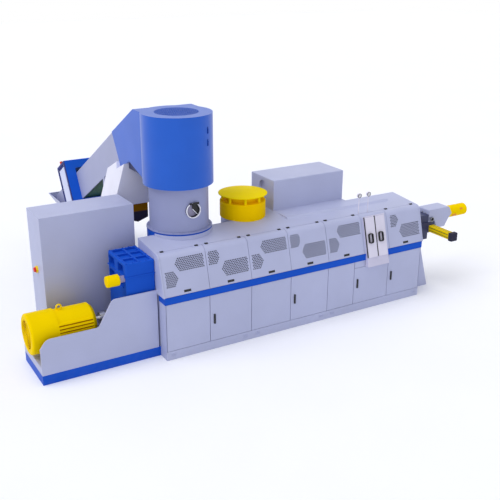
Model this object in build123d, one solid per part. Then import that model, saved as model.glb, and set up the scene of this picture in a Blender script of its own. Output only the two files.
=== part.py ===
from build123d import *
import os
from math import cos, pi, radians, sin, tan

# Plastic recycling line: a cutter-compactor drum feeds a screw extruder in a
# long sheet-metal housing. Lengths in mm. While it is modelled, X runs along
# the line from the housing's left end, Y into the line from its front face and
# Z up from the floor. The finished nodes move to the middle of the footprint.

# Housing
SECTION = 680.0
WINDOW_SECTION = 503.0
FULL_SECTIONS = 6
HOUSING_DEPTH = 805.0
SHEET = 3.0
FOLD = 25.0
TOE_HEIGHT = 132.0
BAND_BOTTOM = 845.0
BAND_TOP = 950.0
BAND_PROUD = 6.0
BAND_LEFT_RETURN = 200.0
FRONT_LEAN = 15.0
COVER_PROUD = 10.0
ROOF_CORNER_Z = 1517.0
ROOF_RISE = 5.2
ROOF_BEND = 90.0
COVER_HINGE_Y = 240.0
COVER_GAP = 6.0
END_OVERHANG = 25.0
LEDGE_LEFT = 2290.0
LEDGE_RIGHT_MARGIN = 290.0
LEDGE_FRONT_Y = 560.0
LEDGE_HEIGHT = 80.0
LEDGE_DEPTH = 240.0

# Doors
DOOR_THICKNESS = 20.0
DOOR_SIDE_GAP = 8.0
DOOR_END_GAP = 6.0
HINGE_INSET = 20.0
PIN_RADIUS = 5.0
PIN_CLEARANCE = 0.08
PIN_REACH = 12.0
HANDLE_HEIGHT = 150.0
HANDLE_WIDTH = 26.0
HANDLE_PROUD = 15.0
HANDLE_FROM_EDGE = 66.0
HANDLE_Z = 475.0
UNDER_WINDOW_TOP = 735.0
POST_WIDTH = 60.0
POST_DEPTH = 40.0
POST_Y = 42.0
RAIL_WALL = 4.0

# Perforated zones in the covers
ZONE_HEIGHT = 212.0
ZONE_HALF_LENGTH = 356.0
ZONE_TIP = 52.0
ZONE_STRIP = 54.0
UPPER_ZONE_Z = 1366.0
LOWER_ZONE_Z = 1180.0
UPPER_ZONE_SHIFT = -130.0
LOWER_ZONE_SHIFT = -117.0

# Degassing windows
WINDOW_LEFT_MARGIN = 32.0
WINDOW_WIDTH = 438.0
WINDOW_PROUD = 22.0
WINDOW_BOTTOM = 745.0
LID_WIDTH = 176.0
LID_LINE = 24.0
LID_BOTTOM = 888.0
LID_TOP = 1494.0
LID_THICKNESS = 10.0
LOOP_Z = 1181.0
LOOP_HEIGHT = 156.0
LOOP_WIDTH = 84.0
LOOP_BAR = 13.0
LOOP_PROUD = 34.0
LOOP_SHIFT = -22.0
GAUGE_HEIGHT = 300.0
GAUGE_RADIUS = 34.0
GAUGE_STEM = 7.0
GAUGE_CASE = 28.0
BOX_BROW = 14.0
BOX_ROUND = 40.0
LOOP_CORNER = 30.0

# Extruder
SCREW_Y = 600.0
SCREW_Z = 938.0
BARREL_RADIUS = 105.0
HEATER_RADIUS = 150.0
HEATER_LENGTH = 300.0
HEATER_GAP = 60.0
BARREL_OVERRUN = 377.0
BARREL_HOLE_GAP = 10.0
THROAT_HALF = 80.0

# Motor base
BASE_LENGTH = 1680.0
BASE_FRONT_Y = 208.0
BASE_DEPTH = 812.0
BASE_PLINTH = 139.0
BASE_LOW = 643.0
BASE_HIGH = 1003.0
BASE_DECK = 250.0
BASE_PLATE = 16.0
BASE_CORNER_HEIGHT = 520.0
SEAT = 0.3

# Main motor and gearbox
MOTOR_Z = 580.0
MOTOR_RADIUS = 262.0
COWL_RADIUS = 282.0
MOTOR_OVERHANG = 54.0
COWL_LENGTH = 300.0
MOTOR_BODY_LENGTH = 600.0
MOTOR_EYE = 155.0
FIN_COUNT = 5
FIN_PITCH = 40.0
FIN_SLOT = 14.0
FIN_DEPTH = 26.0
GEARBOX_LENGTH = 420.0
GEARBOX_Y = 250.0
GEARBOX_WIDTH = 640.0
GEARBOX_TOP = 1440.0
GEARBOX_SPLIT_Z = 1248.0
GEARBOX_FLANGE = 18.0
GEARBOX_RIM = 40.0
POCKET_WIDTH = 200.0
POCKET_DEPTH = 60.0
POCKET_RISE = 140.0
TOP_POCKET_DEPTH = 30.0
PUMP_Z = 1216.0
PUMP_RADIUS = 80.0
PUMP_LENGTH = 180.0
PUMP_NECK = 74.0

# Control cabinet
CABINET_LEFT = -1319.0
CABINET_WIDTH = 1350.0
CABINET_DEPTH = 580.0
CABINET_HEIGHT = 1996.0
CABINET_Y = 1050.0
BUTTON_Z = 1178.0
BUTTON_RADIUS = 50.0
BUTTON_PROUD = 28.0

# Compactor drum and hood
DRUM_X = 673.0
DRUM_Y = 908.0
DRUM_RADIUS = 427.0
DRUM_BASE_RADIUS = 470.0
DRUM_BOTTOM = 1180.0
FLANGE_Z = 1622.0
FLANGE_THICKNESS = 18.0
HOOD_RADIUS = 503.0
HOOD_BOTTOM = 2276.0
HOOD_TOP = 3269.0
HOOD_HALF_WIDTH = 458.0
HOOD_TOP_BACK = 1366.0
HOOD_NOTCH = (1588.0, 2478.0)
HOOD_HEEL = (1922.0, 2298.0)
HOOD_WALL = 6.0
SIGHT_RADIUS = 112.0
SIGHT_RING = 14.0
SIGHT_Z = 1957.0
SIGHT_SHIFT = 14.0
SIGHT_PROUD = 20.0
SIGHT_DEPTH = 90.0
VENT_RADIUS = 315.0

# Belt conveyor
BELT_ANGLE = 29.6
CONVEYOR_TOP_Y = 2222.0
CONVEYOR_TOP_Z = 2794.0
CONVEYOR_HALF_WIDTH = 443.0
CONVEYOR_SIDE = 468.0
CONVEYOR_PLATE = 15.0
CONVEYOR_RUN = 3700.0
CONVEYOR_HEAD = 240.0
HEAD_TUCK = 100.0
CROSS_TUBES = 6
CROSS_TUBE_RADIUS = 34.0
BELT_DEPTH = 138.0
BELT_THICKNESS = 10.0
BELT_MARGIN = 30.0
END_DRUM_RADIUS = 150.0
LEG_SIZE = 72.0
LEG_STATIONS = (860.0, 3050.0)
BRACE_Z = 300.0
GATE_START = 2159.0
GATE_LENGTH = 474.0
GATE_ABOVE = 245.0
GATE_HALF_WIDTH = 618.0
GATE_BEAM = 150.0
PANEL_MARGIN = 45.0
PANEL_RECESS = 8.0
LAMP_RADIUS = 25.0
LAMP_HEIGHT = 50.0
HOPPER_TOP = 1040.0
HOPPER_LENGTH = 640.0
HOPPER_FLARE = 130.0
HOPPER_WALL = 12.0
CASING_Y = 1700.0
CASING_DEPTH = 550.0
CASING_BOTTOM = 1777.0
CASING_TOP = 2420.0
CASING_FOOT_HALF = 690.0
CASING_HEAD_HALF = 490.0
CASING_LEG = 80.0
DRIVE_COVER_X = 375.0
DRIVE_COVER_HALF = 168.0
DRIVE_COVER_DROP = 237.0
DRIVE_COVER_POINT = 60.0

# Vertical drive motor
DRIVE_X = 1792.0
DRIVE_Y = 1004.0
DRIVE_RADIUS = 350.0
CANOPY_RADIUS = 373.0
CANOPY_RISE = 28.0
CANOPY_RIM = 10.0
DRIVE_TOP = 1825.0
CANOPY_Z = 1930.0
DRIVE_POSTS = 8
DRIVE_POST_RADIUS = 20.0

# Rear machine room and box on it
REAR_LEFT = 1720.0
REAR_BOX_LEFT = 2289.0
REAR_BOX_WIDTH = 1325.0
REAR_BOX_Y = 908.0
REAR_BOX_DEPTH = 660.0
REAR_BOX_TOP = 2060.0
REAR_PORT_RADIUS = 95.0
REAR_PORT_Z = 1905.0
REAR_PORT_SHIFT = 0.0

# Head end
CHANGER_LEFT = 4960.0
CHANGER_LENGTH = 200.0
CHANGER_WIDTH = 272.0
CHANGER_BOTTOM = 745.0
CHANGER_TOP = 1182.0
TUBE_X = 5210.0
TUBE_SIZE = 112.0
TUBE_END_Y = -30.0
CAP_SIZE = 138.0
CAP_LENGTH = 80.0
CHAMBER_TOP = 1257.0
CHAMBER_WIDTH = 270.0
CHAMBER_RIGHT = 5612.0
CHAMBER_NOSE = 72.0
CHAMBER_BOTTOM = 915.0
CUTTER_MOTOR_Z = 1113.0
CUTTER_MOTOR_RADIUS = 103.0
CUTTER_MOTOR_END = 6100.0
STAND_Y = 258.0
STAND_FOOT = 5034.0
STAND_HEAD = 4757.0

# Worked out
HOUSING_LENGTH = FULL_SECTIONS * SECTION + WINDOW_SECTION
WINDOW_X = (FULL_SECTIONS - 1) * SECTION
GAUGE_STATIONS = (WINDOW_X + 37.0, WINDOW_X + 218.0)
LEAN = tan(radians(FRONT_LEAN))
ROOF_CORNER_Y = (ROOF_CORNER_Z - BAND_TOP) * LEAN - COVER_PROUD
PARTS = {}


def keep(name, shape):
    """Files a finished node under its name."""
    PARTS[name] = shape


def block(x0, x1, y0, y1, z0, z1):
    """A block between two corners."""
    sizes = (x1 - x0, y1 - y0, z1 - z0)
    return Pos(x0, y0, z0) * Box(*sizes, align=(Align.MIN, Align.MIN, Align.MIN))


def rod(radius, start, end):
    """A round bar between two points."""
    start = Vector(*start)
    way = Vector(*end) - start
    middle = (Align.CENTER, Align.CENTER, Align.MIN)
    return Plane(origin=start, z_dir=way) * Cylinder(radius, way.length, align=middle)


def outline(points, radii):
    """A closed flat outline whose corners are rounded by the given radii."""
    count = len(points)
    corners = []
    for i, point in enumerate(points):
        corner = Vector(*point)
        before = (Vector(*points[i - 1]) - corner).normalized()
        after = (Vector(*points[(i + 1) % count]) - corner).normalized()
        half = radians(before.get_angle(after)) / 2
        reach = radii[i] / tan(half)
        middle = corner + (before + after).normalized() * (radii[i] / sin(half) - radii[i])
        corners.append((corner + before * reach, middle, corner + after * reach))
    edges = []
    for i, (start, middle, end) in enumerate(corners):
        if radii[i] > 0:
            edges.append(ThreePointArc(start, middle, end))
        edges.append(Line(end, corners[(i + 1) % count][0]))
    return make_face(edges)


def sharp(points):
    """A closed flat outline with square corners."""
    return outline(points, [0] * len(points))


def rounded(width, height, radius):
    """A rectangle about the middle with rounded corners."""
    w, h = width / 2, height / 2
    return outline([(-w, -h), (w, -h), (w, h), (-w, h)], [radius] * 4)


def prism_x(face, x0, x1):
    """Extrudes a (Y, Z) outline along X."""
    plane = Plane(origin=(x0, 0, 0), x_dir=(0, 1, 0), z_dir=(1, 0, 0))
    return extrude(plane * face, amount=x1 - x0)


def prism_y(face, y0, y1):
    """Extrudes an (X, Z) outline along Y."""
    plane = Plane(origin=(0, y1, 0), x_dir=(1, 0, 0), z_dir=(0, -1, 0))
    return extrude(plane * face, amount=y1 - y0)


def joined(pieces):
    """Several bodies as one node."""
    pieces = list(pieces)
    result = pieces[0]
    for piece in pieces[1:]:
        result = result + piece
    return result


def group(pieces):
    """Several solids that share a node without being fused."""
    solids = []
    for piece in pieces:
        solids.extend(piece.solids())
    return Compound(solids)


def front_y(z, inset=0.0):
    """Y of the leaning cover front at a height, moved inwards by an inset."""
    return (z - BAND_TOP) * LEAN - COVER_PROUD + inset / cos(radians(FRONT_LEAN))


def roof_z(y, inset=0.0):
    """Height of the rising roof at a depth, moved inwards by an inset."""
    rise = radians(ROOF_RISE)
    return ROOF_CORNER_Z + (y - ROOF_CORNER_Y) * tan(rise) - inset / cos(rise)


def corner(inset):
    """Where the leaning front meets the roof, both moved inwards."""
    y = front_y(roof_z(0, inset), inset) / (1 - tan(radians(ROOF_RISE)) * LEAN)
    return (y, roof_z(y, inset))


# Housing


def cover_section(outer, inner, foot, back):
    """The bent section between two insets, from its foot to its hinge line."""
    points = [
        (front_y(foot, outer), foot),
        corner(outer),
        (back, roof_z(back, outer)),
        (back, roof_z(back, inner)),
        corner(inner),
        (front_y(foot, inner), foot),
    ]
    radii = [0, ROOF_BEND - outer, 0, 0, ROOF_BEND - inner, 0]
    return outline(points, radii)


def bent_cover(x0, x1):
    """A folded cover: a bent sheet with a rim turned in on every side."""
    foot = BAND_TOP + DOOR_END_GAP
    full = prism_x(cover_section(0, FOLD, foot, COVER_HINGE_Y), x0, x1)
    hollow = cover_section(SHEET, FOLD + 1, foot + SHEET, COVER_HINGE_Y - SHEET)
    return full - prism_x(hollow, x0 + SHEET, x1 - SHEET)


def zone_face(x0, x1, left_tip, right_tip, middle_z):
    """Part of a long hexagon seen from the front, as an (X, Z) outline."""
    half = ZONE_HEIGHT / 2
    points = [(x0, middle_z - half), (x1, middle_z - half)]
    if right_tip:
        points.append((x1 + ZONE_TIP, middle_z))
    points.append((x1, middle_z + half))
    points.append((x0, middle_z + half))
    if left_tip:
        points.append((x0 - ZONE_TIP, middle_z))
    return sharp(points)


def zones_of(number, left, right):
    """Perforated outlines in one cover, numbered from the left end."""
    strip = ZONE_STRIP / 2
    first_upper = number % 2 == 0
    shift = UPPER_ZONE_SHIFT if first_upper else LOWER_ZONE_SHIFT
    level = UPPER_ZONE_Z if first_upper else LOWER_ZONE_Z
    other = LOWER_ZONE_Z if first_upper else UPPER_ZONE_Z
    other_shift = LOWER_ZONE_SHIFT if first_upper else UPPER_ZONE_SHIFT
    start = right + shift - ZONE_HALF_LENGTH + ZONE_TIP
    end = left + other_shift + ZONE_HALF_LENGTH - ZONE_TIP
    opening = zone_face(start, right - strip, True, False, level)
    closing = zone_face(left + strip, end, False, True, other)
    return [opening, closing]


def perforated(cover, faces):
    """Cuts the zones out of a cover and returns it with the sheets that fill them."""
    sheets = []
    for face in faces:
        tool = prism_y(face, -HOUSING_DEPTH, HOUSING_DEPTH)
        sheet = cover & tool
        cover = cover - tool
        sheets.extend(sheet.solids())
    return cover, sheets


def cover_spans():
    """Left and right edge of each cover, with the window section left out."""
    spans = []
    for number in range(FULL_SECTIONS):
        left = number * SECTION
        if number == FULL_SECTIONS - 1:
            left = left + WINDOW_SECTION
        spans.append((left, left + SECTION))
    return spans


def upper_covers():
    """Six lift-up covers with perforated zones and a recessed grip each."""
    covers = []
    sheets = []
    grips = []
    hinges = []
    half = COVER_GAP / 2
    for number, (left, right) in enumerate(cover_spans()):
        cover = bent_cover(left + half, right - half)
        faces = zones_of(number, left, right)
        if number == FULL_SECTIONS - 1:
            faces = last_zones(left, right)
        cover, found = perforated(cover, faces)
        sheets.extend(found)
        middle = (left + right) / 2
        slot = grip_block(middle)
        covers.append(cover - slot)
        grips.append(slot & bent_core(left + half + SHEET, right - half - SHEET))
        for side in (-1, 1):
            x = middle + side * (SECTION / 2 - 78)
            hinges.append(roof_hinge(x))
    keep("upper_covers", group(covers))
    keep("perforated_sheets", group(sheets))
    keep("cover_grips", group(grips))
    keep("cover_hinges", group(hinges))


def last_zones(left, right):
    """Zones of the cover at the right end, beside the windows."""
    strip = ZONE_STRIP / 2
    upper = zone_face(left + strip + 30, left + 190, False, True, UPPER_ZONE_Z)
    lower = zone_face(left + 270, right - strip + 10, True, False, LOWER_ZONE_Z)
    return [upper, lower]


def bent_core(x0, x1):
    """The space just behind a cover's sheet, where its grip cup sits."""
    foot = BAND_TOP + DOOR_END_GAP + SHEET
    return prism_x(cover_section(2, FOLD, foot, COVER_HINGE_Y - SHEET), x0, x1)


def grip_block(middle):
    """A slot above the band, as a block that crosses the sheet."""
    width, height, z = 108.0, 34.0, BAND_TOP + 46.0
    return block(middle - width / 2, middle + width / 2, -60, 60, z - height / 2, z + height / 2)


def roof_hinge(x):
    """A small leaf hinge lying over the joint between cover and roof."""
    y = COVER_HINGE_Y + 2
    plate = Box(46, 40, 6, align=(Align.CENTER, Align.CENTER, Align.MIN))
    knuckle = Pos(0, 0, 7) * Rot(0, 90, 0) * Cylinder(7, 46)
    return Pos(x, y, roof_z(y) + 0.2) * Rot(ROOF_RISE, 0, 0) * (plate + knuckle)


def housing_shell():
    """Base frame, posts, rails, band, ends, roof and back of the housing."""
    length, depth = HOUSING_LENGTH, HOUSING_DEPTH
    base = block(0, length, 0, depth, 0, TOE_HEIGHT)
    rail = block(SHEET, length - SHEET, 0, POST_DEPTH, BAND_BOTTOM, BAND_TOP)
    rail = rail - block(
        SHEET * 2, length - SHEET * 2, RAIL_WALL, POST_DEPTH - RAIL_WALL,
        BAND_BOTTOM + RAIL_WALL, BAND_TOP - RAIL_WALL,
    )
    bay_left = seam_positions()[5]
    bay_right = seam_positions()[6]
    panel = block(
        bay_left + DOOR_SIDE_GAP / 2, bay_right - DOOR_SIDE_GAP / 2,
        0, DOOR_THICKNESS, UNDER_WINDOW_TOP + DOOR_END_GAP, BAND_BOTTOM,
    )
    for x, y, top, _ in hinge_axes():
        hole = PIN_RADIUS + PIN_CLEARANCE
        base = base - rod(hole, (x, y, TOE_HEIGHT - PIN_REACH), (x, y, TOE_HEIGHT + 1))
        cut = rod(hole, (x, y, top + DOOR_END_GAP - 1), (x, y, top + DOOR_END_GAP + PIN_REACH))
        rail = rail - cut
        panel = panel - cut
    keep("base_frame", base)
    for x in (seam_positions()[2], seam_positions()[4], seam_positions()[6]):
        rail = rail + block(
            x - POST_WIDTH / 2, x + POST_WIDTH / 2, POST_DEPTH - RAIL_WALL, POST_Y + POST_DEPTH,
            BAND_BOTTOM, BAND_TOP,
        )
        rail = rail + block(
            x - POST_WIDTH / 2, x + POST_WIDTH / 2, POST_Y, POST_Y + POST_DEPTH,
            TOE_HEIGHT, BAND_TOP,
        )
    keep("door_frame", rail + panel)
    band = block(-BAND_PROUD, length + BAND_PROUD, -BAND_PROUD, depth, BAND_BOTTOM, BAND_TOP)
    band = band - block(0, length, 0, depth + 1, BAND_BOTTOM - 1, BAND_TOP + 1)
    band = band - block(-50, 0, BAND_LEFT_RETURN, depth + 1, 0, BAND_TOP + 1)
    hole = BARREL_RADIUS + BARREL_HOLE_GAP
    bore = rod(hole, (-500, SCREW_Y, SCREW_Z), (length + 500, SCREW_Y, SCREW_Z))
    keep("blue_band", band - bore)
    lower = block(0, SHEET, 0, depth - SHEET, TOE_HEIGHT, BAND_TOP)
    keep("lower_ends", group([lower - bore, Pos(length - SHEET, 0, 0) * lower - bore]))
    left_end = end_panel(-END_OVERHANG, 0, False) - bore
    right_end = end_panel(length, length + END_OVERHANG, True) - bore
    keep("upper_ends", group([left_end, right_end]))
    roof_and_back(bore)


def end_panel(x0, x1, open_left):
    """A folded end panel in the shape of the upper housing."""
    full = prism_x(end_face(0), x0, x1)
    skin = (x0 - 1, x1 - SHEET) if open_left else (x0 + SHEET, x1 + 1)
    return full - prism_x(end_face(SHEET), *skin)


def end_face(inset):
    """The (Y, Z) shape of the upper housing's end, inside its rim."""
    foot = BAND_TOP + inset
    back = HOUSING_DEPTH - inset
    points = [
        (front_y(foot, inset), foot),
        corner(inset),
        (back, roof_z(back, inset)),
        (back, foot),
    ]
    return outline(points, [0, ROOF_BEND - inset, 0, 0])


def roof_and_back(bore):
    """Roof sheet behind the covers, fixed window panel and back panels."""
    length, depth = HOUSING_LENGTH, HOUSING_DEPTH
    start = COVER_HINGE_Y + COVER_GAP
    drum = rod(DRUM_BASE_RADIUS + SEAT, (DRUM_X, DRUM_Y, 0), (DRUM_X, DRUM_Y, HOOD_TOP))
    profile = [
        (start, roof_z(start)),
        (depth, roof_z(depth)),
        (depth, roof_z(depth) - FOLD),
        (depth - SHEET, roof_z(depth) - FOLD),
        (depth - SHEET, roof_z(depth - SHEET, SHEET)),
        (start + SHEET, roof_z(start + SHEET, SHEET)),
        (start + SHEET, roof_z(start) - FOLD),
        (start, roof_z(start) - FOLD),
    ]
    roof = prism_x(sharp(profile), 0, length) - drum
    right = length - LEDGE_RIGHT_MARGIN
    back = LEDGE_FRONT_Y + LEDGE_DEPTH
    ledge = [
        (LEDGE_FRONT_Y, roof_z(LEDGE_FRONT_Y) - 1),
        (LEDGE_FRONT_Y + 30, roof_z(LEDGE_FRONT_Y) + LEDGE_HEIGHT),
        (back, roof_z(back) + LEDGE_HEIGHT),
        (back, roof_z(back) - 1),
    ]
    keep("roof_sheet", roof + prism_x(sharp(ledge), LEDGE_LEFT, right))
    half = COVER_GAP / 2
    fixed = bent_cover(WINDOW_X + half, WINDOW_X + WINDOW_SECTION - half)
    keep("window_panel", fixed)
    top = roof_z(depth) - FOLD
    back_panels = []
    count = 3
    width = length / count
    for number in range(count):
        x0, x1 = number * width + half, (number + 1) * width - half
        panel = block(x0, x1, depth - FOLD, depth, TOE_HEIGHT, top - half)
        panel = panel - block(
            x0 + SHEET, x1 - SHEET, depth - FOLD - 1, depth - SHEET,
            TOE_HEIGHT + SHEET, top - half - SHEET,
        )
        low = block(DRUM_X - 470, DRUM_X + 470, depth - 60, depth + 10, DRUM_BOTTOM - 4, HOOD_TOP)
        back_panels.append(panel - low)
    keep("back_panels", group(back_panels))


def seam_positions():
    """X of the seams between the lower doors, with both ends."""
    widths = [SECTION] * 4 + [WINDOW_SECTION] + [SECTION] * 2
    seams = [0.0]
    for width in widths:
        seams.append(seams[-1] + width)
    return seams


def door_plan():
    """Edges, top, hinge side and handle of each lower door."""
    seams = seam_positions()
    half = DOOR_SIDE_GAP / 2
    last = len(seams) - 2
    sides = ["left", "right", "left", "right", "left", "right", "right"]
    handled = [False, True, False, True, False, True, True]
    plan = []
    for number, side in enumerate(sides):
        left = seams[number] + (SHEET + DOOR_SIDE_GAP if number == 0 else half)
        right = seams[number + 1] - (SHEET + DOOR_SIDE_GAP if number == last else half)
        top = BAND_BOTTOM - DOOR_END_GAP
        if number == last - 1:
            top = UNDER_WINDOW_TOP
        plan.append((left, right, top, side, handled[number]))
    return plan


def hinge_axes():
    """Place of each door's pins, its top and the way it opens."""
    axes = []
    for left, right, top, side, _ in door_plan():
        x = left + HINGE_INSET if side == "left" else right - HINGE_INSET
        axes.append((x, DOOR_THICKNESS / 2, top, -1 if side == "left" else 1))
    return axes


def doors():
    """Seven folded door leaves with their pins, and the handles of four."""
    bottom = TOE_HEIGHT + DOOR_END_GAP
    for number, (plan, axis) in enumerate(zip(door_plan(), hinge_axes())):
        left, right, top, side, handled = plan
        x, y = axis[0], axis[1]
        leaf = block(left, right, 0, DOOR_THICKNESS, bottom, top)
        leaf = leaf - block(
            left + SHEET, right - SHEET, SHEET, DOOR_THICKNESS + 1,
            bottom + SHEET, top - SHEET,
        )
        reach = DOOR_END_GAP + PIN_REACH - 1
        leaf = leaf + rod(PIN_RADIUS, (x, y, bottom - reach), (x, y, bottom + 30))
        leaf = leaf + rod(PIN_RADIUS, (x, y, top - 30), (x, y, top + reach))
        keep(f"door_{number + 1}", leaf)
        if handled:
            keep(f"door_handle_{number + 1}", door_handle(left, right, side))


def door_handle(left, right, side):
    """A slim upright lever on the door's free edge."""
    x = right - HANDLE_FROM_EDGE if side == "left" else left + HANDLE_FROM_EDGE
    low = HANDLE_Z - HANDLE_HEIGHT / 2
    high = HANDLE_Z + HANDLE_HEIGHT / 2
    half = HANDLE_WIDTH / 2
    face = outline([(x - half, low), (x + half, low), (x + half, high), (x - half, high)], [10] * 4)
    return prism_y(face, -HANDLE_PROUD, 0)


def lid_starts():
    """Left edges of the two vent lids."""
    first = WINDOW_X + WINDOW_LEFT_MARGIN + LID_LINE
    return [first, first + LID_WIDTH + LID_LINE]


def degassing_windows():
    """The box over the vent zone, its two narrow lids, their grips and the gauges."""
    x0 = WINDOW_X + WINDOW_LEFT_MARGIN
    x1 = x0 + WINDOW_WIDTH
    low = (WINDOW_BOTTOM - BAND_TOP) * LEAN - COVER_PROUD - WINDOW_PROUD
    top = LID_TOP + BOX_BROW
    face = sharp([
        (low, WINDOW_BOTTOM),
        (front_y(top, -WINDOW_PROUD), top),
        (front_y(top, 0), top),
        (front_y(BAND_TOP + DOOR_END_GAP, 0), BAND_TOP + DOOR_END_GAP),
        (-BAND_PROUD, BAND_TOP),
        (-BAND_PROUD, WINDOW_BOTTOM),
    ])
    box = prism_x(face, x0, x1)
    front_edge = box.faces().sort_by(Axis.X)[-1].edges().sort_by(SortBy.LENGTH)[-1]
    keep("degassing_box", fillet(front_edge, BOX_ROUND))
    lids = []
    loops = []
    for start in lid_starts():
        lid = sharp([
            (front_y(LID_BOTTOM, -WINDOW_PROUD - LID_THICKNESS), LID_BOTTOM),
            (front_y(LID_TOP, -WINDOW_PROUD - LID_THICKNESS), LID_TOP),
            (front_y(LID_TOP, -WINDOW_PROUD), LID_TOP),
            (front_y(LID_BOTTOM, -WINDOW_PROUD), LID_BOTTOM),
        ])
        lids.append(prism_x(lid, start, start + LID_WIDTH))
        loops.append(ring_grip(start + LID_WIDTH / 2 + LOOP_SHIFT))
    keep("degassing_lids", group(lids))
    keep("lid_handles", group(loops))
    gauges = []
    for x in GAUGE_STATIONS:
        y = COVER_HINGE_Y + GAUGE_STEM
        z = roof_z(y)
        dial_z = z + GAUGE_HEIGHT
        stem = rod(GAUGE_STEM, (x, y, z + 1), (x, y, dial_z - GAUGE_RADIUS + 4))
        head = rod(GAUGE_RADIUS, (x, y - GAUGE_CASE / 2, dial_z), (x, y + GAUGE_CASE / 2, dial_z))
        gauges.append(stem + head)
    keep("gauges", group(gauges))


def ring_grip(x):
    """An oblong ring on a lid, open in front for the fingertips."""
    outside = prism_y(rounded(LOOP_WIDTH, LOOP_HEIGHT, LOOP_CORNER), -LOOP_PROUD, 0)
    width, height = LOOP_WIDTH - 2 * LOOP_BAR, LOOP_HEIGHT - 2 * LOOP_BAR
    inside = prism_y(rounded(width, height, LOOP_CORNER - LOOP_BAR), -2 * LOOP_PROUD, 1)
    y = front_y(LOOP_Z, -WINDOW_PROUD - LID_THICKNESS)
    return Pos(x, y, LOOP_Z) * Rot(-FRONT_LEAN, 0, 0) * (outside - inside)


def extruder():
    """Barrel with its heater bands and pedestals inside the housing."""
    start, end = -END_OVERHANG - SEAT, HOUSING_LENGTH + BARREL_OVERRUN
    barrel = rod(BARREL_RADIUS, (start, SCREW_Y, SCREW_Z), (end, SCREW_Y, SCREW_Z))
    bands = []
    step = HEATER_LENGTH + HEATER_GAP
    count = int((HOUSING_LENGTH - 1400) // step)
    for number in range(count):
        x = 1250 + number * step
        bands.append(rod(HEATER_RADIUS, (x, SCREW_Y, SCREW_Z), (x + HEATER_LENGTH, SCREW_Y, SCREW_Z)))
    throat = block(
        DRUM_X - THROAT_HALF, DRUM_X + THROAT_HALF, SCREW_Y - THROAT_HALF, SCREW_Y + THROAT_HALF,
        SCREW_Z, DRUM_BOTTOM,
    )
    keep("extruder_barrel", joined([barrel, throat] + bands))
    stands = []
    for x in (300, 1220, 2660, 4100):
        foot = sharp([
            (SCREW_Y - 140, TOE_HEIGHT), (SCREW_Y + 140, TOE_HEIGHT),
            (SCREW_Y + 90, SCREW_Z), (SCREW_Y - 90, SCREW_Z),
        ])
        stands.append(prism_x(foot, x - 12, x + 12) - barrel)
    keep("barrel_stands", group(stands))


# Drive end


def motor_base():
    """Blue plinth, grey side plates with their stepped top, deck and end plate."""
    x0, x1 = -BASE_LENGTH - SEAT, -SEAT
    y0, y1 = BASE_FRONT_Y, BASE_FRONT_Y + BASE_DEPTH
    plinth = block(x0, x1, y0, y1, 0, BASE_PLINTH)
    keep("base_plinth", plinth)
    points = [
        (x0, BASE_PLINTH), (x1 - END_OVERHANG, BASE_PLINTH),
        (x1 - END_OVERHANG, BASE_HIGH), (x0 + 1010, BASE_HIGH),
        (x0 + 800, BASE_LOW), (x0 + 90, BASE_LOW), (x0, BASE_CORNER_HEIGHT),
    ]
    radii = [0, 0, 0, 90, 60, 120, 0]
    side = outline(points, radii)
    front_side = prism_y(side, y0, y0 + BASE_PLATE)
    back_side = prism_y(side, y1 - BASE_PLATE, y1)
    deck = block(x0, x1 - END_OVERHANG, y0 + BASE_PLATE, y1 - BASE_PLATE, BASE_PLINTH, BASE_DECK)
    keep("motor_base", joined([deck, front_side, back_side]))


def main_motor():
    """Finned motor on the deck, with its cowl, feet, eye and shaft coupling."""
    y = BASE_FRONT_Y + BASE_DEPTH / 2
    left = -BASE_LENGTH - MOTOR_OVERHANG
    body0 = left + COWL_LENGTH
    body1 = body0 + MOTOR_BODY_LENGTH
    cowl = rod(COWL_RADIUS, (left, y, MOTOR_Z), (body0, y, MOTOR_Z))
    cowl = fillet(cowl.edges().filter_by(GeomType.CIRCLE).group_by(Axis.X)[0], 30)
    cowl = cowl - rod(COWL_RADIUS - 80, (left - 1, y, MOTOR_Z), (left + 12, y, MOTOR_Z))
    body = rod(MOTOR_RADIUS, (body0, y, MOTOR_Z), (body1, y, MOTOR_Z))
    body = chamfer(body.edges().filter_by(GeomType.CIRCLE).group_by(Axis.X)[-1], 45)
    for number in range(FIN_COUNT):
        z = MOTOR_Z + (number - (FIN_COUNT - 1) / 2) * FIN_PITCH
        for side in (-1, 1):
            outer = y + side * (MOTOR_RADIUS + 10)
            inner = y + side * (MOTOR_RADIUS - FIN_DEPTH)
            body = body - block(
                body0 + 30, body1 - 60, min(outer, inner), max(outer, inner),
                z - FIN_SLOT / 2, z + FIN_SLOT / 2,
            )
    eye_x = body0 + MOTOR_EYE
    eye = Pos(eye_x, y, MOTOR_Z + MOTOR_RADIUS + 38) * Rot(90, 0, 0) * Torus(34, 11)
    eye = eye + rod(20, (eye_x, y, MOTOR_Z + MOTOR_RADIUS - 10), (eye_x, y, MOTOR_Z + MOTOR_RADIUS + 8))
    feet = []
    for x in (body0 + 60, body1 - 180):
        foot = block(x, x + 120, y - 230, y + 230, BASE_DECK, BASE_DECK + 160)
        feet.append(foot - rod(MOTOR_RADIUS - 2, (left, y, MOTOR_Z), (body1, y, MOTOR_Z)))
    keep("main_motor", joined([body, cowl, eye] + feet))
    gear0 = -END_OVERHANG - SEAT * 2 - GEARBOX_LENGTH
    shaft = rod(42, (body1, y, MOTOR_Z), (gear0, y, MOTOR_Z))
    middle = (body1 + gear0) / 2
    half = rod(92, (middle - 90, y, MOTOR_Z), (middle - 8, y, MOTOR_Z))
    other = rod(92, (middle + 8, y, MOTOR_Z), (middle + 90, y, MOTOR_Z))
    keep("shaft_coupling", joined([shaft, half, other]))


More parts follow.
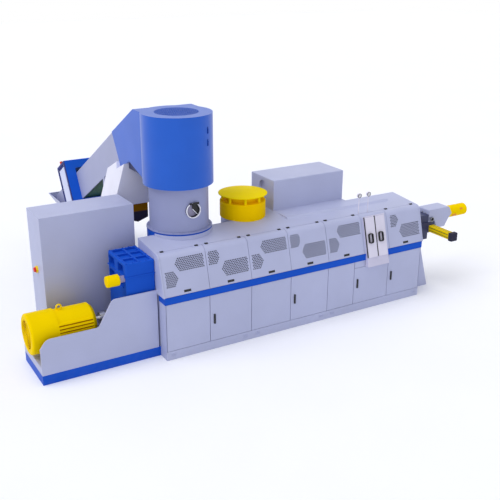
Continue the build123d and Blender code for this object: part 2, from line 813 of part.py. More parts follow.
def gearbox():
    """Split cast gearbox: deep pockets in its left wall, a ribbed top and a flange."""
    y0 = GEARBOX_Y
    y1 = y0 + GEARBOX_WIDTH
    x1 = -END_OVERHANG - SEAT * 2
    x0 = x1 - GEARBOX_LENGTH
    body = block(x0, x1, y0, y1, BASE_DECK, GEARBOX_TOP)
    body = chamfer(body.edges().filter_by(Axis.Z), 14)
    body = chamfer(body.faces().sort_by(Axis.Z)[-1].edges(), 10)
    flange = GEARBOX_FLANGE / 2
    body = body + block(
        x0 - flange, x1, y0 - flange, y1 + flange, GEARBOX_SPLIT_Z - flange, GEARBOX_SPLIT_Z + flange,
    )
    over = GEARBOX_SPLIT_Z + flange
    under = GEARBOX_SPLIT_Z - flange
    for y in (y0 + GEARBOX_RIM * 2, y1 - GEARBOX_RIM - POCKET_WIDTH):
        for z0, z1 in ((over, over + POCKET_RISE), (under - POCKET_RISE - 40, under - 40)):
            pocket = block(x0 - 20, x0 + POCKET_DEPTH, y, y + POCKET_WIDTH, z0 + 6, z1)
            body = body - fillet(pocket.edges().filter_by(Axis.X), 18)
    rib = GEARBOX_RIM * 0.7
    wide = (GEARBOX_LENGTH - 2 * GEARBOX_RIM - rib) / 2
    deep = (GEARBOX_WIDTH - 2 * GEARBOX_RIM - 2 * rib) / 3
    for column in range(2):
        for row in range(3):
            x = x0 + GEARBOX_RIM + column * (wide + rib)
            y = y0 + GEARBOX_RIM + row * (deep + rib)
            pocket = block(x, x + wide, y, y + deep, GEARBOX_TOP - TOP_POCKET_DEPTH, GEARBOX_TOP + 1)
            body = body - fillet(pocket.edges().filter_by(Axis.Z), 14)
    keep("gearbox", body)
    py = y0 + PUMP_RADIUS
    neck0 = x0 - PUMP_NECK
    neck = rod(PUMP_RADIUS * 0.6, (neck0, py, PUMP_Z), (x0 + POCKET_DEPTH, py, PUMP_Z))
    motor = rod(PUMP_RADIUS, (neck0 - PUMP_LENGTH, py, PUMP_Z), (neck0, py, PUMP_Z))
    motor = fillet(motor.edges().filter_by(GeomType.CIRCLE), 16)
    keep("oil_pump_motor", motor + (neck - body))


def control_cabinet():
    """Cabinet with a plinth, two doors marked by grooves and a stop button."""
    x0, x1 = CABINET_LEFT, CABINET_LEFT + CABINET_WIDTH
    y0, y1 = CABINET_Y, CABINET_Y + CABINET_DEPTH
    body = block(x0, x1, y0, y1, 0, CABINET_HEIGHT)
    middle = (x0 + x1) / 2
    body = body - block(middle - 2, middle + 2, y1 - 4, y1 + 1, 100, CABINET_HEIGHT - 30)
    body = body - block(x0 + 20, x1 - 20, y1 - 4, y1 + 1, 96, 100)
    keep("control_cabinet", body)
    z = BUTTON_Z
    y = (y0 + y1) / 2
    plate = rod(BUTTON_RADIUS, (x0 - BUTTON_PROUD, y, z), (x0, y, z))
    cap = rod(BUTTON_RADIUS * 0.66, (x0 - 2 * BUTTON_PROUD, y, z), (x0 - BUTTON_PROUD, y, z))
    cap = fillet(cap.edges().filter_by(GeomType.CIRCLE).group_by(Axis.X)[0], 8)
    keep("stop_button", plate + cap)


# Compactor and hood


def compactor():
    """Blue lower drum, flange ring, grey drum with its sight port, stand."""
    x, y = DRUM_X, DRUM_Y
    base = rod(DRUM_BASE_RADIUS, (x, y, DRUM_BOTTOM), (x, y, FLANGE_Z))
    keep("drum_base", base)
    top = FLANGE_Z + FLANGE_THICKNESS
    flange = rod(DRUM_BASE_RADIUS + 5, (x, y, FLANGE_Z), (x, y, top))
    shell = rod(DRUM_RADIUS, (x, y, top), (x, y, HOOD_BOTTOM))
    port_x = x + SIGHT_SHIFT
    port_y = y - DRUM_RADIUS
    front, back = port_y - SIGHT_PROUD, port_y + SIGHT_DEPTH
    port = rod(SIGHT_RADIUS, (port_x, front, SIGHT_Z), (port_x, back, SIGHT_Z))
    glass = rod(SIGHT_RADIUS - SIGHT_RING, (port_x, front - 1, SIGHT_Z), (port_x, back - SIGHT_PROUD, SIGHT_Z))
    keep("compactor_drum", shell + flange - port)
    keep("sight_port", port - glass)
    stand = block(
        x - DRUM_BASE_RADIUS, x + DRUM_BASE_RADIUS,
        HOUSING_DEPTH + SEAT, y + DRUM_BASE_RADIUS + 20, 0, DRUM_BOTTOM,
    )
    keep("drum_stand", stand)


def hood_form(inset, top, low_end, high_end):
    """The hood's round front run into its chute, moved inwards by an inset."""
    x, y = DRUM_X, DRUM_Y
    low = HOOD_BOTTOM + inset
    front = rod(HOOD_RADIUS - inset, (x, y, low), (x, y, top))
    side = sharp([
        (y, low), (HOOD_NOTCH[0], HOOD_NOTCH[1] + inset), low_end, high_end,
        (HOOD_TOP_BACK - inset / 2, top), (y, top),
    ])
    half = HOOD_HALF_WIDTH - inset
    return front + prism_x(side, x - half, x + half)


def hood():
    """The blue hood: a sheet shell, open where the belt enters, with a vent recess."""
    wall = HOOD_WALL
    mouth_low, mouth_high = HOOD_HEEL, (CONVEYOR_TOP_Y, CONVEYOR_TOP_Z)
    body = hood_form(0, HOOD_TOP, mouth_low, mouth_high)
    way = (Vector(*mouth_high) - Vector(*mouth_low)).normalized()
    out = Vector(way.Y, -way.X) * (2 * wall)
    low = Vector(*mouth_low) + way * (2 * wall) + out
    high = Vector(*mouth_high) - way * wall + out
    space = hood_form(wall, HOOD_TOP - wall, (low.X, low.Y), (high.X, high.Y))
    recess = rod(VENT_RADIUS, (DRUM_X, DRUM_Y, HOOD_TOP - wall / 2), (DRUM_X, DRUM_Y, HOOD_TOP + 1))
    keep("hood", body - space - recess)


# Conveyor


def along(s, n):
    """(Y, Z) of a point along the belt from the hood, n above its side plates."""
    a = radians(BELT_ANGLE)
    return (
        CONVEYOR_TOP_Y + s * cos(a) + n * sin(a),
        CONVEYOR_TOP_Z - s * sin(a) + n * cos(a),
    )


def slab(s0, s1, n0, n1, x0, x1):
    """A block lying along the inclined belt."""
    return prism_x(sharp([along(s0, n0), along(s1, n0), along(s1, n1), along(s0, n1)]), x0, x1)


def conveyor():
    """Inclined belt conveyor: side plates, belt loop round two drums, legs and gate."""
    x0, x1 = DRUM_X - CONVEYOR_HALF_WIDTH, DRUM_X + CONVEYOR_HALF_WIDTH
    plate = CONVEYOR_PLATE
    start, run = -CONVEYOR_HEAD, CONVEYOR_RUN
    inner0, inner1 = x0 + plate, x1 - plate
    top = -BELT_DEPTH
    centre = top - BELT_THICKNESS - END_DRUM_RADIUS
    bed_top = top - BELT_THICKNESS - SEAT
    bed0 = start + END_DRUM_RADIUS * 3
    bed1 = run - END_DRUM_RADIUS * 3
    frame = [slab(bed0, bed1, bed_top - plate, bed_top, inner0, inner1)]
    for x in (x0, inner1):
        frame.append(slab(4 * SEAT, run, -CONVEYOR_SIDE, 0, x, x + plate))
        frame.append(slab(start, END_DRUM_RADIUS, -CONVEYOR_SIDE, -HEAD_TUCK, x, x + plate))
    for number in range(CROSS_TUBES):
        y, z = along(bed0 + (bed1 - bed0) * number / (CROSS_TUBES - 1), centre)
        frame.append(rod(CROSS_TUBE_RADIUS, (inner0, y, z), (inner1, y, z)))
    keep("conveyor_frame", joined(frame))
    head = start + END_DRUM_RADIUS + BELT_MARGIN
    tail = run - END_DRUM_RADIUS - BELT_MARGIN
    loop = belt_form(head, tail, centre, END_DRUM_RADIUS + BELT_THICKNESS)
    loop = loop - belt_form(head, tail, centre, END_DRUM_RADIUS)
    keep("conveyor_belt", loop)
    ends = []
    for s in (head, tail):
        y, z = along(s, centre)
        ends.append(rod(END_DRUM_RADIUS - SEAT, (inner0 + 8, y, z), (inner1 - 8, y, z)))
        ends.append(rod(30, (inner0, y, z), (inner1, y, z)))
    keep("tail_drum", joined(ends))
    legs = []
    half = LEG_SIZE / 2
    for s in LEG_STATIONS:
        leg_y, leg_z = along(s, -CONVEYOR_SIDE)
        for x in (x0, x1 - LEG_SIZE):
            post = block(x, x + LEG_SIZE, leg_y - half, leg_y + half, 0, leg_z + CONVEYOR_SIDE)
            legs.append(post - slab(s - 400, s + 400, -CONVEYOR_SIDE, CONVEYOR_SIDE, x0 - 1, x1 + 1))
        legs.append(block(x0 + 1, x1 - 1, leg_y - half / 2, leg_y + half / 2, BRACE_Z, BRACE_Z + half))
    keep("conveyor_legs", joined(legs))
    gate()
    hopper()


def belt_form(head, tail, centre, radius):
    """The space that the belt's loop encloses at a radius about its two drums."""
    x0 = DRUM_X - CONVEYOR_HALF_WIDTH + CONVEYOR_PLATE + BELT_MARGIN
    x1 = DRUM_X + CONVEYOR_HALF_WIDTH - CONVEYOR_PLATE - BELT_MARGIN
    form = slab(head, tail, centre - radius, centre + radius, x0, x1)
    for s in (head, tail):
        y, z = along(s, centre)
        form = form + rod(radius, (x0, y, z), (x1, y, z))
    return form


def gate():
    """Metal detector frame that the belt passes through, with its lamp."""
    left, right = DRUM_X - GATE_HALF_WIDTH, DRUM_X + GATE_HALF_WIDTH
    s0, s1 = GATE_START, GATE_START + GATE_LENGTH
    low = -CONVEYOR_SIDE - GATE_BEAM
    frame = slab(s0, s1, low, GATE_ABOVE, left, right)
    frame = chamfer(frame.edges().filter_by(Axis.X), 12)
    hole = slab(
        s0 - 10, s1 + 10, -CONVEYOR_SIDE - SEAT, GATE_ABOVE - GATE_BEAM,
        DRUM_X - CONVEYOR_HALF_WIDTH - SEAT, DRUM_X + CONVEYOR_HALF_WIDTH + SEAT,
    )
    for x in (left, right):
        frame = frame - slab(
            s0 + PANEL_MARGIN, s1 - PANEL_MARGIN, low + PANEL_MARGIN, GATE_ABOVE - PANEL_MARGIN,
            x - PANEL_RECESS, x + PANEL_RECESS,
        )
    middle = (s0 + s1) / 2
    y, z = along(middle, GATE_ABOVE - 1)
    top_y, top_z = along(middle, GATE_ABOVE + LAMP_HEIGHT)
    x = left + LAMP_RADIUS
    lamp = rod(LAMP_RADIUS, (x, y, z), (x, top_y, top_z))
    keep("detector_gate", frame - hole + lamp)


def hopper():
    """Feed hopper round the conveyor's tail: two flared sides and a back wall."""
    wall = HOPPER_WALL
    x0 = DRUM_X - CONVEYOR_HALF_WIDTH - SEAT
    x1 = DRUM_X + CONVEYOR_HALF_WIDTH + SEAT
    back, foot = along(CONVEYOR_RUN + SEAT, 0)
    foot = foot - HOPPER_FLARE
    front = back - HOPPER_LENGTH

    def rim(grow, z):
        """The hopper's open outline at a height."""
        flare = HOPPER_FLARE * (z - foot) / (HOPPER_TOP - foot)
        left, right = x0 - flare - grow, x1 + flare + grow
        face = Rectangle(right - left, HOPPER_LENGTH + wall)
        return Pos((left + right) / 2, (front + back + wall) / 2, z) * face

    outer = loft([rim(wall, foot), rim(wall, HOPPER_TOP)])
    inner = loft([rim(0, foot - 1), rim(0, HOPPER_TOP + 1)])
    bin_form = outer - Pos(0, -wall, 0) * inner
    belt_way = slab(CONVEYOR_RUN - 2 * HOPPER_LENGTH, CONVEYOR_RUN + SEAT, -CONVEYOR_SIDE, 0, x0, x1)
    keep("tail_hopper", bin_form - belt_way)


def head_casing():
    """Flared casing on four legs under the belt's head, with the drive's cover below."""
    y0, y1 = CASING_Y, CASING_Y + CASING_DEPTH
    foot, top = CASING_BOTTOM, CASING_TOP
    wide, narrow = CASING_FOOT_HALF, CASING_HEAD_HALF
    casing = prism_y(sharp([
        (DRUM_X - wide, foot), (DRUM_X + wide, foot), (DRUM_X + narrow, top), (DRUM_X - narrow, top),
    ]), y0, y1)
    notch, heel = HOOD_NOTCH, HOOD_HEEL
    over = [(y0 - 200, notch[1]), notch, heel, (CONVEYOR_TOP_Y, CONVEYOR_TOP_Z), (y0 - 200, CONVEYOR_TOP_Z)]
    reach = wide * 2
    hood_space = prism_x(sharp(over), DRUM_X - reach, DRUM_X + reach)
    belt_space = slab(-800, 800, -CONVEYOR_SIDE - SEAT, 900, DRUM_X - reach, DRUM_X + reach)
    casing = casing - Pos(0, 0, -SEAT) * hood_space - belt_space
    leg = CASING_LEG
    for x in (DRUM_X - wide + leg / 2, DRUM_X + wide - leg * 1.5):
        for y in (y0, y1 - leg):
            casing = casing + block(x, x + leg, y, y + leg, 0, foot + 10)
    keep("head_casing", casing)
    x, half, drop = DRIVE_COVER_X, DRIVE_COVER_HALF, DRIVE_COVER_DROP
    cover = sharp([
        (x - half, foot - SEAT), (x - half, foot - drop), (x, foot - drop - DRIVE_COVER_POINT),
        (x + half, foot - drop), (x + half, foot - SEAT),
    ])
    shell = prism_y(cover, y0 + 2 * HOPPER_WALL, y1)
    front = shell.faces().sort_by(Axis.Y)[0]
    keep("head_drive", chamfer(front.edges(), 10))


# Drive of the drum and the rear room


def vertical_drive():
    """Upright motor with posts under a shallow domed canopy."""
    x, y = DRIVE_X, DRIVE_Y
    foot = roof_z(HOUSING_DEPTH) + SEAT
    body = rod(DRIVE_RADIUS, (x, y, roof_z(y - DRIVE_RADIUS)), (x, y, DRIVE_TOP))
    body = fillet(body.edges().filter_by(GeomType.CIRCLE).group_by(Axis.Z)[-1], 18)
    depth = HOUSING_DEPTH
    under = sharp([
        (0, 0), (y + DRIVE_RADIUS + 1, 0), (y + DRIVE_RADIUS + 1, foot), (depth, foot),
        (0, roof_z(0) + SEAT),
    ])
    body = body - prism_x(under, x - DRIVE_RADIUS - 1, x + DRIVE_RADIUS + 1)
    posts = []
    for number in range(DRIVE_POSTS):
        turn = 2 * pi * (number + 0.5) / DRIVE_POSTS
        px = x + cos(turn) * (DRIVE_RADIUS - 2 * DRIVE_POST_RADIUS)
        py = y + sin(turn) * (DRIVE_RADIUS - 2 * DRIVE_POST_RADIUS)
        posts.append(rod(DRIVE_POST_RADIUS, (px, py, DRIVE_TOP), (px, py, CANOPY_Z)))
    core = rod(DRIVE_RADIUS * 0.69, (x, y, DRIVE_TOP), (x, y, CANOPY_Z - CANOPY_RIM))
    keep("drive_motor", body + core)
    rise = CANOPY_RISE
    rim = CANOPY_RADIUS
    ball = (rim * rim + rise * rise) / (2 * rise)
    dome = Pos(x, y, CANOPY_Z + rise - ball) * Sphere(ball)
    canopy = rod(rim, (x, y, CANOPY_Z - CANOPY_RIM), (x, y, CANOPY_Z + rise * 2)) & dome
    keep("drive_canopy", joined([canopy] + posts))


def rear_room():
    """Closed machine room behind the housing and the box that stands on it."""
    y0, y1 = HOUSING_DEPTH + SEAT, REAR_BOX_Y + REAR_BOX_DEPTH
    top = roof_z(HOUSING_DEPTH) + SEAT
    x1 = REAR_BOX_LEFT + REAR_BOX_WIDTH
    room = block(REAR_LEFT, x1, y0, y1, 0, top)
    pedestal = DRIVE_RADIUS * 0.6
    low = block(DRIVE_X - pedestal, REAR_LEFT, y0, DRIVE_Y + pedestal, 0, top)
    keep("rear_room", room + low)
    box = block(REAR_BOX_LEFT, x1, REAR_BOX_Y, y1, top, REAR_BOX_TOP)
    box = chamfer(box.faces().sort_by(Axis.Z)[-1].edges(), 8)
    port_y = (REAR_BOX_Y + y1) / 2 + REAR_PORT_SHIFT
    port = rod(REAR_PORT_RADIUS, (REAR_BOX_LEFT - 1, port_y, REAR_PORT_Z), (REAR_BOX_LEFT + 40, port_y, REAR_PORT_Z))
    keep("rear_box", box - port)


# Head end


def head_end():
    """Screen changer and its cylinder, cutting chamber and its motor, and the stand."""
    y0 = SCREW_Y - CHANGER_WIDTH / 2
    y1 = SCREW_Y + CHANGER_WIDTH / 2
    left = CHANGER_LEFT
    right = left + CHANGER_LENGTH
    half = TUBE_SIZE / 2
    cap = CAP_SIZE / 2
    block_form = block(left, right, y0, y1, CHANGER_BOTTOM, CHANGER_TOP)
    block_form = chamfer(block_form.edges(), 8)
    bracket_y = y0 - HOPPER_WALL * 2
    bracket = block(
        left + HOPPER_WALL, TUBE_X + cap, bracket_y, y0 + HOPPER_WALL,
        SCREW_Z - cap, SCREW_Z + cap * 1.6,
    )
    bracket = bracket - block(right, TUBE_X + 2 * cap, y0, y1, CHANGER_BOTTOM, CHANGER_TOP)
    keep("screen_changer", block_form + bracket)
    tube = block(TUBE_X - half, TUBE_X + half, TUBE_END_Y, bracket_y, SCREW_Z - half, SCREW_Z + half)
    tube = chamfer(tube.edges().filter_by(Axis.Y), 6)
    end = block(TUBE_X - cap, TUBE_X + cap, TUBE_END_Y - CAP_LENGTH, TUBE_END_Y, SCREW_Z - cap, SCREW_Z + cap)
    keep("changer_cylinder", tube + chamfer(end.edges(), 6))
    x0 = right + SEAT
    x1 = CHAMBER_RIGHT
    top, low = CHAMBER_TOP, CHAMBER_BOTTOM
    middle = CUTTER_MOTOR_Z
    chamber = outline([
        (x0, top), (x1, top), (x1 + CHAMBER_NOSE, middle + 15), (x1, middle - 65),
        (x1 - 77, low), (x1 - 240, low), (x0 + 90, middle + 20), (x0, middle + 20),
    ], [20, 30, 20, 20, 20, 20, 20, 0])
    wide = CHAMBER_WIDTH / 2
    keep("pelletiser", prism_y(chamber, SCREW_Y - wide, SCREW_Y + wide))
    start = x1 + CHAMBER_NOSE - 40
    motor = rod(CUTTER_MOTOR_RADIUS, (start, SCREW_Y, middle), (CUTTER_MOTOR_END, SCREW_Y, middle))
    motor = fillet(motor.edges().filter_by(GeomType.CIRCLE).group_by(Axis.X)[-1], 24)
    keep("pelletiser_motor", motor - PARTS["pelletiser"])
    barrel = PARTS["extruder_barrel"]
    foot_x = HOUSING_LENGTH + END_OVERHANG + SEAT
    stand = sharp([
        (HOUSING_LENGTH + SEAT, 0), (STAND_FOOT, 0), (STAND_HEAD, SCREW_Z), (foot_x, SCREW_Z),
        (foot_x, BAND_BOTTOM - 5), (HOUSING_LENGTH + SEAT, BAND_BOTTOM - 5),
    ])
    keep("head_stand", prism_y(stand, STAND_Y, 2 * SCREW_Y - STAND_Y) - barrel)


def build():
    """Makes every node."""
    housing_shell()
    upper_covers()
    doors()
    degassing_windows()
    extruder()
    motor_base()
    main_motor()
    gearbox()
    control_cabinet()
    compactor()
    hood()
    conveyor()
    head_casing()
    vertical_drive()
    rear_room()
    head_end()


def footprint_centre():
    """Middle of the footprint, from the outermost pieces."""
    box = Compound([solid for shape in PARTS.values() for solid in shape.solids()]).bounding_box()
    return (box.min.X + box.max.X) / 2, (box.min.Y + box.max.Y) / 2


build()
centre_x, centre_y = footprint_centre()
os.makedirs("parts", exist_ok=True)
for node, shape in PARTS.items():
    export_step(Pos(-centre_x, -centre_y, 0) * shape, f"parts/{node}.step")
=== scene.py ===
"""Dresses the recycling line in paint, steel and rubber, adds the true perforations,
bolts, ribs and dials, and sets the floor, the light and the camera."""

from math import cos, pi, radians, sin, tan

import bmesh
import bpy
from mathutils import Matrix, Vector


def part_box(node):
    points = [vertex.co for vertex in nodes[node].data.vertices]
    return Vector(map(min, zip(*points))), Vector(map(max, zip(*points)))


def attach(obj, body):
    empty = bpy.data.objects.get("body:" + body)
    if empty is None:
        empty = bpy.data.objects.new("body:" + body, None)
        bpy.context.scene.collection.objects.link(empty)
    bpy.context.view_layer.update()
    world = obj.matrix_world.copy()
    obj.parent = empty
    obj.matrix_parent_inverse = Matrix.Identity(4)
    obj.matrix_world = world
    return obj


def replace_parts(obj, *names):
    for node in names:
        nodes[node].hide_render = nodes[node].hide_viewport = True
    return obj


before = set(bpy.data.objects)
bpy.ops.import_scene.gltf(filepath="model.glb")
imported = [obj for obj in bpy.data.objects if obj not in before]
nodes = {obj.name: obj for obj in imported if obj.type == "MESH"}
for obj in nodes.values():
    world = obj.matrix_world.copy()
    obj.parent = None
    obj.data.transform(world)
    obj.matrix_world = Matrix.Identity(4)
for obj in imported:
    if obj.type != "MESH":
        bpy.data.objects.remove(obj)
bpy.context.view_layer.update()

# Lengths are written in millimetres from the housing's front left corner on the floor.
MM = 0.001
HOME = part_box("base_frame")[0]
ALONG, INTO, UP = Vector((1, 0, 0)), Vector((0, 1, 0)), Vector((0, 0, 1))

# The leaning covers: their bend's radius, and how far round it the upper zones reach
LEAN = radians(15)
COVER_OUT = Vector((0, -cos(LEAN), sin(LEAN)))
COVER_PROUD = 10.0
BAND_TOP = 950.0
BEND = 90.0
BEND_REACH = 17.1
UPPER_ZONES_FROM = 1440.0
SKIN = 2.0

# The housing's depth and its rising roof
DEPTH = 805.0
ROOF_CORNER_Y, ROOF_CORNER_Z = 141.9, 1517.0
ROOF_RISE = radians(5.2)

# The drum, its hood and the belt with its detector gate
DRUM = Vector((673.0, 908.0))
FLANGE_THICKNESS = 18.0
HOOD_TOP = 3269.0
# The hood is painted dark navy inside this box, under the chute's bend: painted shade.
CHUTE_SHADE = ((250, 1125, 2300), (1096, 1850, 2490))
BELT = radians(29.6)
BELT_HEAD = Vector((2222.0, 2794.0))
BELT_DEPTH = 138.0
GATE_RUN, GATE_RISE = 2396.0, -186.5

# The main motor's axis, in depth and height
MOTOR_Y, MOTOR_Z = 614.0, 580.0


def at(x, y, z):
    """A point in metres from millimetres measured at the housing's corner."""
    return HOME + Vector((x, y, z)) * MM


def spot(node, corner):
    """Millimetres from the housing's corner of a node's lowest (0) or highest (1) corner."""
    return (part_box(node)[corner] - HOME) / MM


def cover_front(z, out=0.0):
    """Depth of the leaning covers' face at a height, or of a face that is further out."""
    return (z - BAND_TOP) * tan(LEAN) - COVER_PROUD - out / cos(LEAN)


def roof_level(y):
    """Height of the roof's face at a depth."""
    return ROOF_CORNER_Z + (y - ROOF_CORNER_Y) * tan(ROOF_RISE)


def beside_belt(x, run, rise):
    """A point along the belt from the hood, a rise above its side plates."""
    y = BELT_HEAD.x + run * cos(BELT) + rise * sin(BELT)
    z = BELT_HEAD.y - run * sin(BELT) + rise * cos(BELT)
    return (x, y, z)


def colour(hex_code):
    """Linear colour from an sRGB hex value."""
    parts = [int(hex_code[i : i + 2], 16) / 255 for i in (1, 3, 5)]
    linear = [c / 12.92 if c <= 0.04045 else ((c + 0.055) / 1.055) ** 2.4 for c in parts]
    return (*linear, 1.0)


def add(tree, kind, sockets=None, **fields):
    """Adds a node, sets its fields and values, and links each socket that is given."""
    item = tree.nodes.new(kind)
    for field, value in fields.items():
        setattr(item, field, value)
    for name, value in (sockets or {}).items():
        if isinstance(value, bpy.types.NodeSocket):
            tree.links.new(value, item.inputs[name])
        else:
            item.inputs[name].default_value = value
    return item


# Finishes


def clouds(tree, patch, low=0.0, high=1.0, stretch=(1, 1, 1)):
    """Soft patches about so many millimetres across, between two values."""
    laid = add(
        tree, "ShaderNodeMapping",
        {
            "Vector": add(tree, "ShaderNodeTexCoord").outputs["Object"],
            "Scale": [part / (patch * MM) for part in stretch],
        },
    ).outputs[0]
    patches = add(tree, "ShaderNodeTexNoise", {"Vector": laid, "Scale": 1.0, "Detail": 3.0})
    return add(
        tree, "ShaderNodeMapRange",
        {
            "Value": patches.outputs["Fac"], "From Min": 0.3, "From Max": 0.7,
            "To Min": low, "To Max": high,
        },
    ).outputs[0]


def past(tree, way, limit, soft=0.5):
    """1 beyond a limit in millimetres along a way across the object, and 0 before it."""
    place = add(tree, "ShaderNodeTexCoord").outputs["Object"]
    reach = add(
        tree, "ShaderNodeVectorMath", {0: place, 1: way}, operation="DOT_PRODUCT"
    ).outputs["Value"]
    middle = HOME.dot(Vector(way)) + limit * MM
    return add(
        tree, "ShaderNodeMapRange",
        {"Value": reach, "From Min": middle - soft * MM, "From Max": middle + soft * MM},
    ).outputs[0]


def inside(tree, low, high):
    """1 within the box between two corners in millimetres, and 0 outside it."""
    within = 1.0
    for axis, near, far in zip((ALONG, INTO, UP), low, high):
        for way, limit in ((axis, near), (-axis, -far)):
            beyond = past(tree, way, limit)
            within = add(
                tree, "ShaderNodeMath", {0: within, 1: beyond}, operation="MULTIPLY"
            ).outputs[0]
    return within


def tinted(tree, hex_code, patch=600.0, by=0.04):
    """A colour with patches a little lighter and darker than its name."""
    base = Vector(colour(hex_code)[:3])
    return add(
        tree, "ShaderNodeMix",
        {0: clouds(tree, patch), 6: (*(base * (1 - by)), 1.0), 7: (*(base * (1 + by)), 1.0)},
        data_type="RGBA",
    ).outputs[2]


def over(tree, amount, under, hex_code):
    """A second colour laid over the first where the amount is 1."""
    return add(
        tree, "ShaderNodeMix", {0: amount, 6: under, 7: tinted(tree, hex_code, 300.0)},
        data_type="RGBA",
    ).outputs[2]


DUST_HALF = 110.0


def dusty(tree, hex_code, patch, most=0.12):
    """A colour under floor dust, which thins out upwards over the lowest stretch."""
    low = past(tree, -UP, -DUST_HALF, DUST_HALF)
    patchy = add(
        tree, "ShaderNodeMath", {0: low, 1: clouds(tree, 70.0, 0.0, most)}, operation="MULTIPLY"
    ).outputs[0]
    return over(tree, patchy, tinted(tree, hex_code, patch), "#9D9CA3")


def two_tone(way, limit, near, patch, far, soft=0.5):
    """A painting function: one colour up to a limit along a way, and another beyond."""
    return lambda tree: over(tree, past(tree, way, limit, soft), tinted(tree, near, patch), far)


DRIFT = 420.0


def finish(name, painting, roughness, grain, depth, stretch=(1, 1, 1), **settings):
    """A material: its colours from a painting function, a roughness that drifts over
    some decimetres, and a relief of a grain and a depth in millimetres."""
    material = bpy.data.materials.new(name)
    material.use_nodes = True
    tree = material.node_tree
    tree.nodes.clear()
    relief = add(
        tree, "ShaderNodeBump",
        {"Strength": 0.5, "Distance": depth * MM, "Height": clouds(tree, grain, stretch=stretch)},
    ).outputs[0]
    shader = add(
        tree, "ShaderNodeBsdfPrincipled",
        {
            "Base Color": painting(tree), "Normal": relief,
            "Roughness": clouds(tree, DRIFT, roughness - 0.05, roughness + 0.05),
        },
    )
    for socket, value in settings.items():
        shader.inputs[socket.replace("_", " ")].default_value = value
    add(tree, "ShaderNodeOutputMaterial", {"Surface": shader.outputs[0]})
    return material


def powder_coat(name, painting, roughness=0.45, **settings):
    """Satin powder coat, sprayed and baked: an even colour with a faint orange peel.
    The real peel is about 1 mm wide and is drawn at 6 mm so that it shows."""
    return finish(name, painting, roughness, 6.0, 0.05, IOR=1.5, **settings)


def enamel(name, painting, roughness=0.34, **settings):
    """Sprayed enamel on castings and sheet: a soft highlight over long low waves
    about 30 mm apart."""
    return finish(name, painting, roughness, 30.0, 0.1, IOR=1.5, **settings)


def one_enamel(name, hex_code, patch, roughness, **settings):
    """Enamel in one colour, with no dust on it."""
    return enamel(name, lambda tree: tinted(tree, hex_code, patch), roughness, **settings)


def brushed(name, hex_code, roughness=0.34, stretch=(0.04, 1, 1)):
    """Stainless steel, belt-brushed: fine lines along one way that smear the highlight.
    The 0.3 mm lines are drawn at 3 mm."""
    def lined(tree):
        base = Vector(colour(hex_code)[:3])
        return add(
            tree, "ShaderNodeMix",
            {0: clouds(tree, 3.0, stretch=stretch), 6: (*(base * 0.86), 1.0), 7: (*base, 1.0)},
            data_type="RGBA",
        ).outputs[2]
    return finish(name, lined, roughness, 3.0, 0.05, stretch, Metallic=1.0)


def moulded(name, hex_code, roughness=0.5):
    """Glass-filled nylon, moulded with a spark-eroded grain: matt, a little lighter
    where the grain catches the light. The 0.4 mm grain is drawn at 2 mm."""
    return finish(name, lambda tree: tinted(tree, hex_code, 40.0, 0.12), roughness, 2.0, 0.1, IOR=1.5)


HOUSING = "#B4B9D7"
BLUE = "#1A55C6"
YELLOW = "#F8D400"
DEEP_BLUE = {"Specular_IOR_Level": 0.06}
HAZED_BLUE = {"Specular_IOR_Level": 0.25, "Sheen_Weight": 0.45, "Sheen_Roughness": 0.4}
CLEAN_YELLOW = {"Specular_IOR_Level": 0.012}

# Where a second colour starts on a node that wears two; on the head drive both colours are painted
# shade, and the sight port's dark well is painted shade
AMBER_ABOVE_MIDDLE = 24.0
BLUE_EDGE = 6.0
CAP_LENGTH = 80.0
PUMP_LENGTH = 180.0
LAMP_FOOT = 246.0
RING_DEPTH = 14.0
PANEL_EDGE = 9.0

gate_left = spot("detector_gate", 0).x
gate_right = spot("detector_gate", 1).x
drive_low, drive_high = spot("head_drive", 0), spot("head_drive", 1)
amber_from = (drive_low.z + drive_high.z) / 2 + AMBER_ABOVE_MIDDLE
flange_top = spot("drum_base", 1).z + FLANGE_THICKNESS
button_step = (spot("stop_button", 0).x + spot("stop_button", 1).x) / 2
cap_back = spot("changer_cylinder", 0).y + CAP_LENGTH
pump_neck = spot("oil_pump_motor", 0).x + PUMP_LENGTH
belt_up = Vector((0, sin(BELT), cos(BELT)))
lamp_foot = belt_up.dot(Vector(beside_belt(0, 0, LAMP_FOOT)))
port_low, port_high = spot("sight_port", 0), spot("sight_port", 1)
ring_back = port_low.y + RING_DEPTH

lilac_coat = powder_coat("powder_coat_lilac_grey", lambda tree: dusty(tree, HOUSING, 700.0))
# The drum's grey is a darker copy of the housing's: painted shade under the hood. Below its flange's
# top it is painted blue.
drum_coat = powder_coat(
    "powder_coat_drum_grey_painted_shade", two_tone(-UP, BLUE_EDGE - flange_top, "#959BC1", 500.0, "#1747A8")
)
blue_coat = enamel(
    "enamel_deep_blue", lambda tree: dusty(tree, BLUE, 500.0, 0.05), 0.4, **DEEP_BLUE
)
# The hood's blue, dark navy inside CHUTE_SHADE: painted shade under the chute's bend.
hood_coat = enamel(
    "enamel_hood_blue",
    lambda tree: over(
        tree, inside(tree, *CHUTE_SHADE), tinted(tree, "#1F5FCA", 500.0), "#23337F"
    ),
    0.42, **HAZED_BLUE,
)
yellow_coat = enamel(
    "enamel_signal_yellow", lambda tree: dusty(tree, YELLOW, 400.0), 0.4, **CLEAN_YELLOW
)
# The canopy's yellow is brighter than the motors': painted light that cancels the hood's shadow on it.
canopy_lit_coat = one_enamel("canopy_yellow_painted_light", "#FFE200", 300.0, 0.4, **CLEAN_YELLOW)
# The drive motor's yellow is warmer than the motors': painted shade for the orange shading on its side.
drive_motor_shade_coat = one_enamel("drive_yellow_painted_shade", "#FFD000", 300.0, 0.4, **CLEAN_YELLOW)
